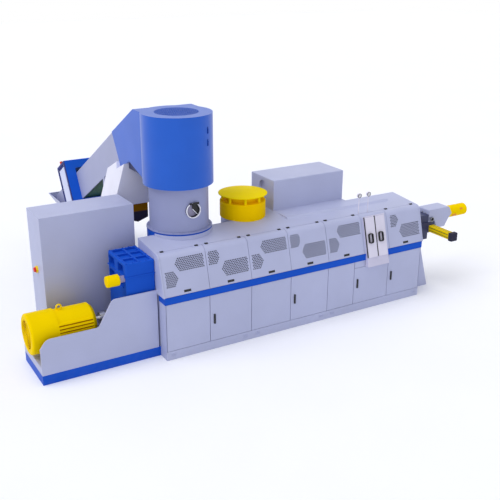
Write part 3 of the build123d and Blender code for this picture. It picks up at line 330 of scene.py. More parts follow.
# Navy enamel for the stands, and painted shade on the block under the hood's chute.
navy_coat = enamel("enamel_navy_and_painted_shade", lambda tree: dusty(tree, "#2A3058", 300.0), 0.38)
lid_coat = one_enamel("enamel_pale_lilac", "#DEDAEA", 300.0, 0.3)
box_coat = one_enamel("enamel_box_lilac", "#CBC8DE", 300.0, 0.35)
conveyor_coat = powder_coat("powder_coat_conveyor", lambda tree: dusty(tree, "#A5A9C8", 600.0))
# The head casing is painted nearly white: painted light that cancels the hood's shadow on its front.
casing_lit_coat = one_enamel("casing_pale_painted_light", "#EAEAF7", 500.0, 0.45)


def gate_paint(tree):
    """Blue, darker on both ends, with the red lamp on top."""
    paint = tinted(tree, "#1B5CD0", 400.0)
    for way, limit, shade in (
        (ALONG, gate_right - PANEL_EDGE, "#252F78"),
        (-ALONG, -(gate_left + PANEL_EDGE), "#252F78"),
        (belt_up, lamp_foot, "#E2512A"),
    ):
        paint = over(tree, past(tree, way, limit), paint, shade)
    return paint


gate_coat = enamel("enamel_gate_blue", gate_paint, 0.4, **DEEP_BLUE)
# Head drive: its yellow, deep in shade, is painted amber above the middle, and the shade under it is
# painted dark grey.
drive_shade_coat = enamel(
    "painted_shade_amber_over_grey", two_tone(UP, amber_from, "#3A3848", 300.0, "#A06A08", 10.0),
    0.4, **CLEAN_YELLOW,
)
button_coat = enamel(
    "red_mushroom_on_yellow", two_tone(ALONG, button_step, "#D8231A", 100.0, YELLOW), 0.3
)
cylinder_coat = enamel(
    "anodised_yellow_tube_dark_cap", two_tone(INTO, cap_back, "#383849", 200.0, "#F2D210"),
    0.36, **CLEAN_YELLOW,
)
pump_coat = enamel(
    "enamel_yellow_pump_grey_neck", two_tone(ALONG, pump_neck, YELLOW, 200.0, "#9A95B4"),
    0.4, **CLEAN_YELLOW,
)
# The polished ring, and beyond it a near-black well: painted shade inside the port.
port_coat = enamel(
    "polished_ring_painted_shade_well", two_tone(INTO, ring_back, "#E6E6F2", 100.0, "#1A1A24"), 0.3
)
black_nylon = moulded("black_nylon", "#121316")
# Black EPDM for the lid seals; the same black is painted shade in the cutter's bore and the tube's
# slots.
seal_rubber_and_shade = moulded("epdm_seal_and_painted_shade", "#17181D", 0.6)
steel = brushed("stainless_steel_brushed", "#C9CAD2")
zinc = brushed("zinc_plated_steel", "#A5A7AE", 0.4, (1, 1, 1))
dial_card = moulded("white_dial_card", "#EDEEF2", 0.45)
pale_panel = one_enamel("enamel_panel_pale", "#CDD3F0", 300.0, 0.35)
smoked_glass = finish(
    "smoked_sight_glass", lambda tree: tinted(tree, "#9A96B4", 60.0), 0.12, 40.0, 0.02, IOR=1.5
)
# Painted shade: a near-black matt sheet for the dark inside behind the perforations, with a 3 mm grain
# in its relief.
hole_shade_coat = finish(
    "painted_shade_behind_holes", lambda tree: tinted(tree, "#0E0F14", 20.0, 0.2), 0.85, 3.0, 0.8,
    Specular_IOR_Level=0.0,
)
# PVC with a fabric print: scuffs run along the travel, 60 mm wide and 500 mm long.
belt_cover = finish(
    "pvc_belt_green",
    lambda tree: over(
        tree, clouds(tree, 60.0, 0.0, 0.7, (1, 0.12, 0.12)),
        tinted(tree, "#123D29", 200.0), "#23583D",
    ),
    0.6, 5.0, 0.4, (4, 1, 1), IOR=1.5,
)

FINISHES = {
    lilac_coat: [
        "back_panels", "base_frame", "control_cabinet", "door_frame", "head_stand",
        "lower_ends", "motor_base", "pelletiser", "perforated_sheets", "rear_box",
        "rear_room", "roof_sheet", "tail_hopper", "upper_covers", "upper_ends",
        "window_panel", *[f"door_{number}" for number in range(1, 8)],
    ],
    blue_coat: ["base_plinth", "blue_band", "drum_base", "gearbox"],
    hood_coat: ["hood"],
    yellow_coat: ["main_motor", "pelletiser_motor"],
    canopy_lit_coat: ["drive_canopy"],
    drive_motor_shade_coat: ["drive_motor"],
    navy_coat: ["barrel_stands", "drum_stand", "screen_changer"],
    lid_coat: ["degassing_lids", "gauges"],
    box_coat: ["degassing_box"],
    casing_lit_coat: ["head_casing"],
    conveyor_coat: ["conveyor_frame", "conveyor_legs"],
    black_nylon: [
        "cover_grips", "cover_hinges", "lid_handles",
        *[f"door_handle_{number}" for number in (2, 4, 6, 7)],
    ],
    steel: ["extruder_barrel", "shaft_coupling", "tail_drum"],
    belt_cover: ["conveyor_belt"],
    drum_coat: ["compactor_drum"],
    gate_coat: ["detector_gate"],
    drive_shade_coat: ["head_drive"],
    button_coat: ["stop_button"],
    cylinder_coat: ["changer_cylinder"],
    pump_coat: ["oil_pump_motor"],
    port_coat: ["sight_port"],
}
for material, names in FINISHES.items():
    for name in names:
        slots = nodes[name].data.materials
        slots.clear()
        slots.append(material)


# Pieces


def settle(name, mesh, material):
    """Makes the finished piece from a mesh and lets it ride on the fixed line."""
    piece = bpy.data.objects.new(name, mesh)
    bpy.context.scene.collection.objects.link(piece)
    mesh.materials.clear()
    mesh.materials.append(material)
    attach(piece, "line")
    return piece


def as_mesh(name, work):
    """Turns a finished bmesh into a mesh."""
    mesh = bpy.data.meshes.new(name)
    work.to_mesh(mesh)
    work.free()
    return mesh


def joined(name, parts):
    """Makes one mesh of several."""
    work = bmesh.new()
    for part in parts:
        work.from_mesh(part)
    return as_mesh(name, work)


def flat(name, corners):
    """A mesh of one flat face with the given corners in metres."""
    mesh = bpy.data.meshes.new(name)
    mesh.from_pydata(corners, [], [range(len(corners))])
    return mesh


def grown(name, mesh, tree, **inputs):
    """Runs a Geometry Nodes tree on a mesh and returns its plain result."""
    seed = bpy.data.objects.new(name, mesh)
    bpy.context.scene.collection.objects.link(seed)
    modifier = seed.modifiers.new("grow", "NODES")
    modifier.node_group = tree
    for item in tree.interface.items_tree:
        if item.in_out == "INPUT" and item.name in inputs:
            modifier[item.identifier] = inputs[item.name]
    bpy.context.view_layer.update()
    shown = seed.evaluated_get(bpy.context.evaluated_depsgraph_get())
    result = bpy.data.meshes.new_from_object(shown)
    seed.modifiers.clear()
    bpy.data.objects.remove(seed)
    result.name = name
    return result


def growing(name, **sizes):
    """A new Geometry Nodes tree with named inputs; returns it with its two ends."""
    tree = bpy.data.node_groups.new(name, "GeometryNodeTree")
    face = tree.interface
    face.new_socket("Geometry", in_out="INPUT", socket_type="NodeSocketGeometry")
    for size, value in sizes.items():
        face.new_socket(size, in_out="INPUT", socket_type="NodeSocketFloat").default_value = value
    face.new_socket("Finish", in_out="INPUT", socket_type="NodeSocketMaterial")
    face.new_socket("Geometry", in_out="OUTPUT", socket_type="NodeSocketGeometry")
    return tree, add(tree, "NodeGroupInput").outputs, add(tree, "NodeGroupOutput")


def ends_in(tree, geometry, ready, end):
    """Realises the instances, gives them their finish and closes the tree."""
    real = add(tree, "GeometryNodeRealizeInstances", {"Geometry": geometry})
    coated = add(
        tree, "GeometryNodeSetMaterial", {"Geometry": real.outputs[0], "Material": ready["Finish"]}
    )
    tree.links.new(coated.outputs[0], end.inputs["Geometry"])


ROW_SHARE = 0.866
SPARE_ROWS = 3.0
HOLE_SIDES = 8
ON_PLATE = 0.0001
WELD = 0.00001


def perforating_tree():
    """Staggered round holes in a flat outline, with the plate's own thickness. Rows of
    a triangular pattern lie 0.866 of a pitch apart, and only whole holes are cut."""
    tree, ready, end = growing("perforating", Pitch=0.028, Radius=0.0095, Margin=0.003, Thickness=0.002)
    outline = ready["Geometry"]
    bounds = add(tree, "GeometryNodeBoundBox", {"Geometry": outline}).outputs
    span, twice = (
        add(
            tree, "ShaderNodeVectorMath", {0: bounds["Max"], 1: bounds["Min"]}, operation=kind
        ).outputs[0]
        for kind in ("SUBTRACT", "ADD")
    )
    centre = add(tree, "ShaderNodeVectorMath", {0: twice, "Scale": 0.5}, operation="SCALE").outputs[0]
    size = add(tree, "ShaderNodeSeparateXYZ", {0: span}).outputs
    row = add(
        tree, "ShaderNodeMath", {0: ready["Pitch"], 1: ROW_SHARE}, operation="MULTIPLY"
    ).outputs[0]
    counts, reaches = [], []
    for axis, step in (("X", ready["Pitch"]), ("Y", row)):
        value = size[axis]
        for kind, by in (
            ("DIVIDE", step), ("ADD", SPARE_ROWS), ("CEIL", 0.0), ("SUBTRACT", 1.0), ("MULTIPLY", step),
        ):
            value = add(tree, "ShaderNodeMath", {0: value, 1: by}, operation=kind).outputs[0]
            if kind == "CEIL":
                counts.append(value)
        reaches.append(value)
    grid = add(
        tree, "GeometryNodeMeshGrid",
        {
            "Size X": reaches[0], "Size Y": reaches[1],
            "Vertices X": counts[0], "Vertices Y": counts[1],
        },
    ).outputs["Mesh"]
    # Every second row is shifted by half a pitch.
    shift = add(tree, "GeometryNodeInputIndex").outputs[0]
    for kind, by in (
        ("MODULO", counts[1]), ("MODULO", 2.0), ("MULTIPLY", 0.5), ("MULTIPLY", ready["Pitch"]),
    ):
        shift = add(tree, "ShaderNodeMath", {0: shift, 1: by}, operation=kind).outputs[0]
    sideways = add(tree, "ShaderNodeCombineXYZ", {"X": shift}).outputs[0]
    offset = add(
        tree, "ShaderNodeVectorMath", {0: sideways, 1: centre}, operation="ADD"
    ).outputs[0]
    placed = add(tree, "GeometryNodeSetPosition", {"Geometry": grid, "Offset": offset}).outputs[0]
    away, to_edge = (
        add(
            tree, "GeometryNodeProximity", {"Target": outline}, target_element=part
        ).outputs["Distance"]
        for part in ("FACES", "EDGES")
    )
    on_it = add(tree, "ShaderNodeMath", {0: away, 1: ON_PLATE}, operation="LESS_THAN").outputs[0]
    room = add(
        tree, "ShaderNodeMath", {0: ready["Margin"], 1: ready["Radius"]}, operation="ADD"
    ).outputs[0]
    clear = add(tree, "ShaderNodeMath", {0: to_edge, 1: room}, operation="GREATER_THAN").outputs[0]
    kept = add(tree, "ShaderNodeMath", {0: on_it, 1: clear}, operation="MULTIPLY").outputs[0]
    centres = add(
        tree, "GeometryNodeSeparateGeometry", {"Geometry": placed, "Selection": kept}
    ).outputs["Selection"]
    ring = add(
        tree, "GeometryNodeCurvePrimitiveCircle",
        {"Resolution": HOLE_SIDES, "Radius": ready["Radius"]},
    ).outputs["Curve"]
    holes = add(
        tree, "GeometryNodeInstanceOnPoints", {"Points": centres, "Instance": ring}
    ).outputs[0]
    real = add(tree, "GeometryNodeRealizeInstances", {"Geometry": holes}).outputs[0]
    rim = add(tree, "GeometryNodeMeshToCurve", {"Mesh": outline}).outputs[0]
    lines = add(tree, "GeometryNodeJoinGeometry")
    tree.links.new(real, lines.inputs[0])
    tree.links.new(rim, lines.inputs[0])
    sheet = add(tree, "GeometryNodeFillCurve", {"Curve": lines.outputs[0]}).outputs[0]
    raised = add(
        tree, "GeometryNodeExtrudeMesh",
        {"Mesh": sheet, "Offset Scale": ready["Thickness"], "Individual": False}, mode="FACES",
    ).outputs["Mesh"]
    under = add(tree, "GeometryNodeFlipFaces", {"Mesh": sheet}).outputs[0]
    both = add(tree, "GeometryNodeJoinGeometry")
    tree.links.new(raised, both.inputs[0])
    tree.links.new(under, both.inputs[0])
    closed = add(
        tree, "GeometryNodeMergeByDistance", {"Geometry": both.outputs[0], "Distance": WELD}
    ).outputs[0]
    ends_in(tree, closed, ready, end)
    return tree


CORNER_SHARE = 0.577
WASHER_SHARE = 0.95
WASHER_THICKNESS_SHARE = 0.25


def bolting_tree():
    """A washer and a hexagon head on each point, turned to face its own way. A
    hexagon's corners lie 0.577 of its width from its middle."""
    tree, ready, end = growing("bolting", Width=0.019, Height=0.01)
    way = add(
        tree, "GeometryNodeInputNamedAttribute", {"Name": "facing"}, data_type="FLOAT_VECTOR"
    ).outputs["Attribute"]
    turn = add(tree, "FunctionNodeAlignRotationToVector", {"Vector": way}, axis="Z").outputs[0]
    corner, wide, thin, lift = (
        add(tree, "ShaderNodeMath", {0: ready[size], 1: share}, operation="MULTIPLY").outputs[0]
        for size, share in (
            ("Width", CORNER_SHARE), ("Width", WASHER_SHARE),
            ("Height", WASHER_THICKNESS_SHARE), ("Height", 0.5),
        )
    )
    head = add(
        tree, "GeometryNodeMeshCylinder", {"Vertices": 6, "Radius": corner, "Depth": ready["Height"]}
    ).outputs["Mesh"]
    lifted = add(
        tree, "GeometryNodeTransform",
        {"Geometry": head, "Translation": add(tree, "ShaderNodeCombineXYZ", {"Z": lift}).outputs[0]},
    ).outputs[0]
    washer = add(
        tree, "GeometryNodeMeshCylinder", {"Vertices": 16, "Radius": wide, "Depth": thin}
    ).outputs["Mesh"]
    bolt = add(tree, "GeometryNodeJoinGeometry")
    tree.links.new(lifted, bolt.inputs[0])
    tree.links.new(washer, bolt.inputs[0])
    placed = add(
        tree, "GeometryNodeInstanceOnPoints",
        {"Points": ready["Geometry"], "Instance": bolt.outputs[0], "Rotation": turn},
    ).outputs[0]
    ends_in(tree, placed, ready, end)
    return tree


def slatting_tree():
    """A round bar along X on each point, squashed to its own height and depth: louvre
    lips and belt cleats."""
    tree, ready, end = growing("slatting", Length=0.07, Height=0.008, Depth=0.008)
    bar = add(
        tree, "GeometryNodeMeshCylinder", {"Vertices": 12, "Radius": 0.5, "Depth": 1.0}
    ).outputs["Mesh"]
    size = add(
        tree, "ShaderNodeCombineXYZ",
        {"X": ready["Height"], "Y": ready["Depth"], "Z": ready["Length"]},
    ).outputs[0]
    scaled = add(tree, "GeometryNodeTransform", {"Geometry": bar, "Scale": size}).outputs[0]
    laid = add(
        tree, "GeometryNodeTransform", {"Geometry": scaled, "Rotation": (0, pi / 2, 0)}
    ).outputs[0]
    placed = add(
        tree, "GeometryNodeInstanceOnPoints", {"Points": ready["Geometry"], "Instance": laid}
    ).outputs[0]
    ends_in(tree, placed, ready, end)
    return tree


def spots(name, places, ways=None):
    """Bare points given in millimetres, each with the way that it faces."""
    mesh = bpy.data.meshes.new(name)
    mesh.from_pydata([tuple(at(*place)) for place in places], [], [])
    if ways:
        facing_way = mesh.attributes.new("facing", "FLOAT_VECTOR", "POINT")
        for item, way in zip(facing_way.data, ways):
            item.vector = way
    return mesh


def shaped(name, build, material, smooth=35.0):
    """A piece whose closed shells a function makes with bmesh; bends under the
    given angle are smooth, and sharper ones are edges."""
    work = bmesh.new()
    build(work)
    bmesh.ops.remove_doubles(work, verts=work.verts, dist=WELD)
    bmesh.ops.recalc_face_normals(work, faces=work.faces)
    for face in work.faces:
        face.smooth = True
    for edge in work.edges:
        edge.smooth = edge.calc_face_angle(pi) < radians(smooth)
    return settle(name, as_mesh(name, work), material)


def facing(way, x, y, z, roll=UP):
    """A plane at a point that looks one way, with its upper side towards roll."""
    out = Vector(way).normalized()
    side = Vector(roll).cross(out)
    side = ALONG.copy() if side.length < 0.01 else side.normalized()
    stand = Matrix((side, out.cross(side), out)).transposed().to_4x4()
    stand.translation = at(x, y, z)
    return stand


def lofted(work, loops, ring=False):
    """Joins equal loops of points into one closed shell."""
    rows = [[work.verts.new(point) for point in loop] for loop in loops]
    count = len(rows[0])
    for here, there in zip(rows, rows[1:] + rows[:1] if ring else rows[1:]):
        for k in range(count):
            work.faces.new((here[k], here[(k + 1) % count], there[(k + 1) % count], there[k]))
    if not ring:
        work.faces.new(list(reversed(rows[0])))
        work.faces.new(rows[-1])


def turned(work, place, rows, sides=32, ring=False):
    """Revolves (radius, height) rows in millimetres about a placed Z axis."""
    around = [(cos(2 * pi * k / sides), sin(2 * pi * k / sides)) for k in range(sides)]
    loops = []
    for radius, height in rows:
        loops.append([place @ (Vector((c * radius, s * radius, height)) * MM) for c, s in around])
    lofted(work, loops, ring)


def plate_on(work, place, width, height, thick, bevel=1.0, x=0.0, y=0.0):
    """A plate with broken front edges on a placed XY plane, centred on x and y."""
    loops = []
    for inset, level in ((0.0, 0.0), (0.0, thick - bevel), (bevel, thick)):
        w, h = width / 2 - inset, height / 2 - inset
        corners = ((x - w, y - h), (x + w, y - h), (x + w, y + h), (x - w, y + h))
        loops.append([place @ (Vector((*corner, level)) * MM) for corner in corners])
    lofted(work, loops)


def outlined(work, place, outline, thick):
    """A plate of any flat outline in millimetres on a placed XY plane."""
    loops = []
    for level in (0.0, thick):
        loops.append([place @ (Vector((*point, level)) * MM) for point in outline])
    lofted(work, loops)


def across(work, profile, x0, x1):
    """A prism of a (y, z) profile from one x to another."""
    lofted(work, [[at(x, y, z) for y, z in profile] for x in (x0, x1)])


def rounded_bar(work, start, end, radius, sides=12):
    """A round bar between two points, with broken ends."""
    way = Vector(end) - Vector(start)
    length = way.length
    tip = radius * 0.2
    rows = [(radius - tip, 0), (radius, tip), (radius, length - tip), (radius - tip, length)]
    turned(work, facing(way, *start), rows, sides)


def welded(node):
    """A working copy of a CAD node's mesh, with its double corners joined."""
    work = bmesh.new()
    work.from_mesh(nodes[node].data)
    bmesh.ops.remove_doubles(work, verts=work.verts, dist=2 * WELD)
    return work


def flat_outlines(node, normal):
    """Outlines of the flat faces of a CAD node that look one way, as corner lists."""
    work = welded(node)
    bmesh.ops.dissolve_limit(work, angle_limit=radians(1), verts=work.verts, edges=work.edges)
    outlines = [
        [corner.co.copy() for corner in (loop.vert for loop in face.loops)]
        for face in work.faces
        if face.normal.dot(normal) > 0.999
    ]
    work.free()
    return outlines


# The covers' perforated zones and the sheets of painted shade behind them

PERFORATING = perforating_tree()
BOLTING = bolting_tree()
SLATTING = slatting_tree()
ZONES = flat_outlines("perforated_sheets", COVER_OUT)
SHADE_BACK, SHADE_FRONT = 12.0, 6.0
BEND_STEPS = 5


def perforated_plates():
    """Every cover's perforated zones as real plates with staggered round holes."""
    plates = []
    for outline in ZONES:
        middle = sum(outline, Vector()) / len(outline)
        stand = Matrix((ALONG, COVER_OUT.cross(ALONG), COVER_OUT)).transposed().to_4x4()
        stand.translation = middle
        back = stand.inverted()
        plate = grown(
            "zone_plate", flat("zone", [tuple(back @ corner) for corner in outline]), PERFORATING,
            Pitch=28 * MM, Radius=10.5 * MM, Margin=2 * MM, Thickness=SKIN * MM, Finish=lilac_coat,
        )
        plate.transform(stand @ Matrix.Translation((0, 0, -SKIN * MM)))
        plates.append(plate)
    return joined("perforated_plates", plates)


def hole_shade(work):
    """Near-black sheets of painted shade a few millimetres behind the holes, so that each hole reads
    dark.
    """
    for outline in ZONES:
        loops = []
        for depth in (SHADE_BACK, SHADE_FRONT):
            loops.append([corner - COVER_OUT * (depth * MM) for corner in outline])
        lofted(work, loops)


def bend_strips(work):
    """The plain top edges of the upper zones, rolled over with the covers' bend."""
    rise = COVER_OUT.cross(ALONG)
    for outline in ZONES:
        top = max(corner.z for corner in outline)
        if top < at(0, 0, UPPER_ZONES_FROM).z:
            continue
        edge = [corner for corner in outline if corner.z > top - 0.5 * MM]
        left, right = min(corner.x for corner in edge), max(corner.x for corner in edge)
        rows = []
        hollow = BEND - SKIN
        for k in range(BEND_STEPS + 1):
            turn = BEND_REACH / BEND * k / BEND_STEPS
            outer = (rise * sin(turn) - COVER_OUT * (1 - cos(turn))) * (BEND * MM)
            inner = (rise * sin(turn) * hollow - COVER_OUT * (BEND - hollow * cos(turn))) * MM
            rows.append((outer, inner))
        profile = [outer for outer, inner in rows] + [inner for outer, inner in reversed(rows)]
        start = Vector((0, edge[0].y, edge[0].z))
        lofted(work, [[start + ALONG * x + point for point in profile] for x in (left, right)])


perforated = settle("perforated_plates", perforated_plates(), lilac_coat)
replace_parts(perforated, "perforated_sheets")
shaped("bend_strips", bend_strips, lilac_coat)
shaped("hole_shade_sheets", hole_shade, hole_shade_coat, 10)

VENT_RADIUS = 308.0
VENT_SIDES = 64
VENT_SUNK = 2.4


def vent_plate():
    """The perforated disc in the top of the hood."""
    angles = [2 * pi * k / VENT_SIDES for k in range(VENT_SIDES)]
    reach = VENT_RADIUS * MM
    disc = grown(
        "vent_plate", flat("vent", [(cos(a) * reach, sin(a) * reach, 0) for a in angles]), PERFORATING,
        Pitch=30 * MM, Radius=8.5 * MM, Margin=10 * MM, Thickness=SKIN * MM, Finish=vent_coat,
    )
    disc.transform(Matrix.Translation(at(DRUM.x, DRUM.y, HOOD_TOP - VENT_SUNK)))
    return disc


vent_coat = one_enamel("enamel_vent_blue", "#2F58B4", 300.0, 0.45, **DEEP_BLUE)
settle("vent_plate", vent_plate(), vent_coat)


# The roof's low rear step and the motor base's plates

# The ledge as the solids have it and the step that takes its place; each side of the
# ledge comes with its place on the step.
LEDGE_SIDES = ((2290.0, 2294.0), (4293.0, 4265.0))
LEDGE_FRONT, LEDGE_MIDDLE, LEDGE_RISE = 560.0, 700.0, 20.0
STEP_FOOT, STEP_EDGE, STEP_BACK = 508.0, 546.0, 803.0
STEP_LIFT = 3.0
NEAR_X, NEAR_Y = 1.0, 5.0

BASE_PLATE = 16.0
BASE_PLINTH = 139.0
BASE_DECK = 250.0


def roof_with_low_step():
    """The roof sheet with its rear step drawn as low and as deep as the photo's."""
    work = welded("roof_sheet")
    level = roof_level(DEPTH) + STEP_LIFT
    for vert in work.verts:
        x, y, z = (vert.co - HOME) / MM
        side = next((step for ledge, step in LEDGE_SIDES if abs(x - ledge) < NEAR_X), None)
        if side is None or y < LEDGE_FRONT - NEAR_Y:
            continue
        raised = z > roof_level(y) + LEDGE_RISE
        depth = STEP_BACK
        if y < LEDGE_MIDDLE:
            depth = STEP_FOOT if y < LEDGE_FRONT + NEAR_Y else STEP_EDGE
        vert.co = at(side, depth, level if raised else roof_level(depth))
    return as_mesh("roof_with_low_step", work)


def base_plates(work):
    """The motor base's stepped front plate and its deck."""
    front = min(flat_outlines("motor_base", -INTO), key=lambda outline: outline[0].y)
    lofted(work, [front, [corner + INTO * (BASE_PLATE * MM) for corner in front]])
    low, high = spot("motor_base", 0), spot("motor_base", 1)
    start = low.y + BASE_PLATE
    deck = ((start, BASE_PLINTH), (high.y, BASE_PLINTH), (high.y, BASE_DECK), (start, BASE_DECK))
    across(work, deck, low.x, high.x)


stepped_roof = settle("roof_with_low_step", roof_with_low_step(), lilac_coat)
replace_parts(stepped_roof, "roof_sheet")
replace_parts(shaped("base_plates", base_plates, lilac_coat), "motor_base")


# Drum and hood

APRON_OUTER, APRON_INNER, APRON_TOP = 475.0, 470.4, 1609.0
APRON_FROM, APRON_TO, APRON_STEPS = 196.7, 347.5, 48
APRON_SUNK, APRON_EDGE = 3.0, 1.5

# Profile of the navy block of painted shade under the chute's bend
KEEL = ((1134, 2343), (1700, 2343), (1700, 2417), (1588, 2477))
KEEL_LEFT, KEEL_RIGHT = 255.0, 1091.0


def drum_apron(work):
    """The roof's grey apron round the drum, up to just under its flange."""
    outer, inner, high = APRON_OUTER, APRON_INNER, APRON_TOP
    loops = []
    for k in range(APRON_STEPS + 1):
        angle = radians(APRON_FROM + k * (APRON_TO - APRON_FROM) / APRON_STEPS)
        c, s = cos(angle), sin(angle)
        low = roof_level(DRUM.y + outer * s) - APRON_SUNK
        section = (
            (outer, low), (outer, high - APRON_EDGE), (outer - APRON_EDGE, high),
            (inner, high), (inner, low),
        )
        loops.append([at(DRUM.x + radius * c, DRUM.y + radius * s, z) for radius, z in section])
    lofted(work, loops)


def hood_shade_block(work):
    """A navy block under the bend of the chute: painted shade of the hood's inside."""
    across(work, KEEL, KEEL_LEFT, KEEL_RIGHT)


shaped("drum_apron", drum_apron, lilac_coat)
shaped("hood_shade_block", hood_shade_block, navy_coat)

LATCH_WAY = (0.506, -0.863, 0)
LATCH_X, LATCH_Y = 927.5, 474.0


def hood_latches(work):
    """Two slim toggle latches with their keepers on the hood's seam."""
    for z in (3060, 2890):
        place = facing(LATCH_WAY, LATCH_X, LATCH_Y, z)
        plate_on(work, place, 20, 92, 5, 1.5)
        plate_on(work, place @ Matrix.Translation((0, 0, 5 * MM)), 11, 66, 8, 2, y=-8)
        left, right = ((LATCH_X + 6.5 * end, LATCH_Y + 4 * end, z + 42) for end in (-1, 1))
        rounded_bar(work, left, right, 5)


latch_coat = one_enamel("enamel_latch_blue", "#1B3F97", 100.0, 0.35, **DEEP_BLUE)
shaped("hood_latches", hood_latches, latch_coat)

PORT_X, PORT_Y, PORT_Z = (port_low.x + port_high.x) / 2, port_low.y, (port_low.z + port_high.z) / 2
PORT_CLEAR = 97.0
GLASS_BACK = 66.0
SHUTTER_BACK = 40.0
SHUTTER_REACH = 93.0


def sight_glass(work):
    """The port's disc of smoked glass."""
    rows = [(PORT_CLEAR, 0), (PORT_CLEAR, 8), (PORT_CLEAR - 2, 10)]
    turned(work, facing(-INTO, PORT_X, PORT_Y + GLASS_BACK, PORT_Z), rows, 64)


def sight_shutter(work):
    """The black shutter over the upper right quarter and its hinge above the ring."""
    place = facing(-INTO, PORT_X, PORT_Y + SHUTTER_BACK, PORT_Z)
    angles = [radians(a) for a in range(-44, 91, 9)]
    arc = [(SHUTTER_REACH * cos(a), SHUTTER_REACH * sin(a)) for a in angles]
    outlined(work, place, [(6, -10), (64, -70), *arc, (-8, SHUTTER_REACH)], 7)
    place = facing(-INTO, PORT_X, PORT_Y, PORT_Z)
    plate_on(work, place, 92, 34, 16, 3, x=34, y=101)
    plate_on(work, place, 40, 26, 20, 3, x=-44, y=104)


def sight_wiper(work):
    """The thin bright wiper blade across the glass."""
    x, y, z = PORT_X + 4, PORT_Y + 28, PORT_Z + 4
    rounded_bar(work, (x, y, z), (x + 64, y, z - 70), 5)
    rounded_bar(work, (x, y + 28, z), (x, y - 6, z), 8)


def sight_ring(work):
    """The polished clamping ring."""
    rows = ((102, -1), (102, 3), (104, 6), (109, 6), (111.5, 3), (111.5, -1))
    turned(work, facing(-INTO, PORT_X, PORT_Y, PORT_Z), rows, 72, ring=True)


polished = one_enamel("polished_clamp_ring", "#F4F4FA", 60.0, 0.2)
shaped("sight_glass", sight_glass, smoked_glass)
shaped("sight_shutter", sight_shutter, black_nylon)
shaped("sight_wiper", sight_wiper, polished)
shaped("sight_ring", sight_ring, polished)


# Degassing windows and gauges

BOX_PROUD = 22.0
SEAL_X = (3442, 3644)
SEAL_FOOT, SEAL_TOP = 888.0, 1506.0
SEAL_WIDTH = 20.0


def seal_strips(work):
    """Black rubber strips beside the two narrow lids, laid along their lean."""
    middle = (SEAL_FOOT + SEAL_TOP) / 2
    for x in SEAL_X:
        place = facing(COVER_OUT, x, cover_front(middle, BOX_PROUD), middle)
        plate_on(work, place, SEAL_WIDTH, (SEAL_TOP - SEAL_FOOT) / cos(LEAN), 5, 2)


shaped("seal_strips", seal_strips, seal_rubber_and_shade)

GAUGE_X = (3437, 3618)
GAUGE_RADIUS = 34.0
DIAL_Y = spot("gauges", 0).y
DIAL_Z = spot("gauges", 1).z - GAUGE_RADIUS
TICKS, FIRST_TICK, TICK_STEP, NEEDLE = 9, 225.0, 33.75, 150.0


def dial_cards(work):
    """The white faces of both pressure gauges."""
    for x in GAUGE_X:
        turned(work, facing(-INTO, x, DIAL_Y, DIAL_Z), [(29, -0.5), (29, 1.0), (28, 1.5)], 40)


def dial_marks(work):
    """Bezels, scale ticks and needles."""
    for x in GAUGE_X:
        place = facing(-INTO, x, DIAL_Y, DIAL_Z)
        rows = ((28.5, -1), (28.5, 4), (30, 6), (33, 6), (34.4, 4), (34.4, -1))
        turned(work, place, rows, 40, ring=True)
        for k in range(TICKS):
            tick = place @ Matrix.Rotation(radians(FIRST_TICK - TICK_STEP * k), 4, "Z")
            plate_on(work, tick, 6, 1.6, 2.4, 0.3, x=23)
        needle = place @ Matrix.Rotation(radians(NEEDLE), 4, "Z")
        plate_on(work, needle, 26, 2.4, 3.4, 0.4, x=8)
        turned(work, place, [(4, 1), (4, 4), (3, 4.6)], 16)


shaped("dial_cards", dial_cards, dial_card)
shaped("dial_marks", dial_marks, black_nylon)


# Conveyor

_, GATE_Y, GATE_Z = beside_belt(0, GATE_RUN, GATE_RISE)
PANEL_SUNK = 8.0
CLEATS, FIRST_CLEAT, CLEAT_STEP = 9, 520.0, 330.0
CLEAT_LENGTH, CLEAT_HEIGHT = 770.0, 18.0


def gate_panels(work):
    """The pale cover plates in both ends of the detector gate."""
    for way, x in ((-ALONG, gate_left + PANEL_SUNK), (ALONG, gate_right - PANEL_SUNK)):
        plate_on(work, facing(way, x, GATE_Y, GATE_Z, belt_up), 306, 690, 5, 2)


def belt_cleats(name):
    """Low cleats across the belt's upper run."""
    runs = [FIRST_CLEAT + CLEAT_STEP * k for k in range(CLEATS)]
    return grown(
        name, spots(name, [beside_belt(DRUM.x, run, -BELT_DEPTH) for run in runs]), SLATTING,
        Length=CLEAT_LENGTH * MM, Height=CLEAT_HEIGHT * MM, Depth=CLEAT_HEIGHT * MM,
        Finish=belt_cover,
    )


shaped("gate_panels", gate_panels, pale_panel)
settle("belt_cleats", belt_cleats("belt_cleats"), belt_cover)


# Motor, cowl and pelletiser

MOTOR_LEFT, MOTOR_RIGHT = spot("main_motor", 0).x, spot("main_motor", 1).x
SKIRT_END = 370.0
SKIRT_LENGTH = 72.0
SHAFT_END = 60.0
FIN_PITCH = 42.0
FIN_HALF = 11.0
WIRES, WIRE_PITCH, SPOKES = 9, 20.5, 8


def ribs(work, count, root, reach, inset):
    """Level bars along both sides of the motor, from a root to a reach from its axis."""
    left, right = MOTOR_LEFT + SKIRT_END + inset, MOTOR_RIGHT - SHAFT_END - inset
    for side in (-1, 1):
        for k in range(count):
            middle = FIN_PITCH * (k + 1 - count / 2)
            heights = (middle - FIN_HALF, middle, middle + FIN_HALF)
            profile = [(MOTOR_Y + side * (reach**2 - z**2) ** 0.5, MOTOR_Z + z) for z in heights]
            profile += [(MOTOR_Y + side * root, MOTOR_Z + z) for z in heights[::-2]]
            across(work, profile, left, right)


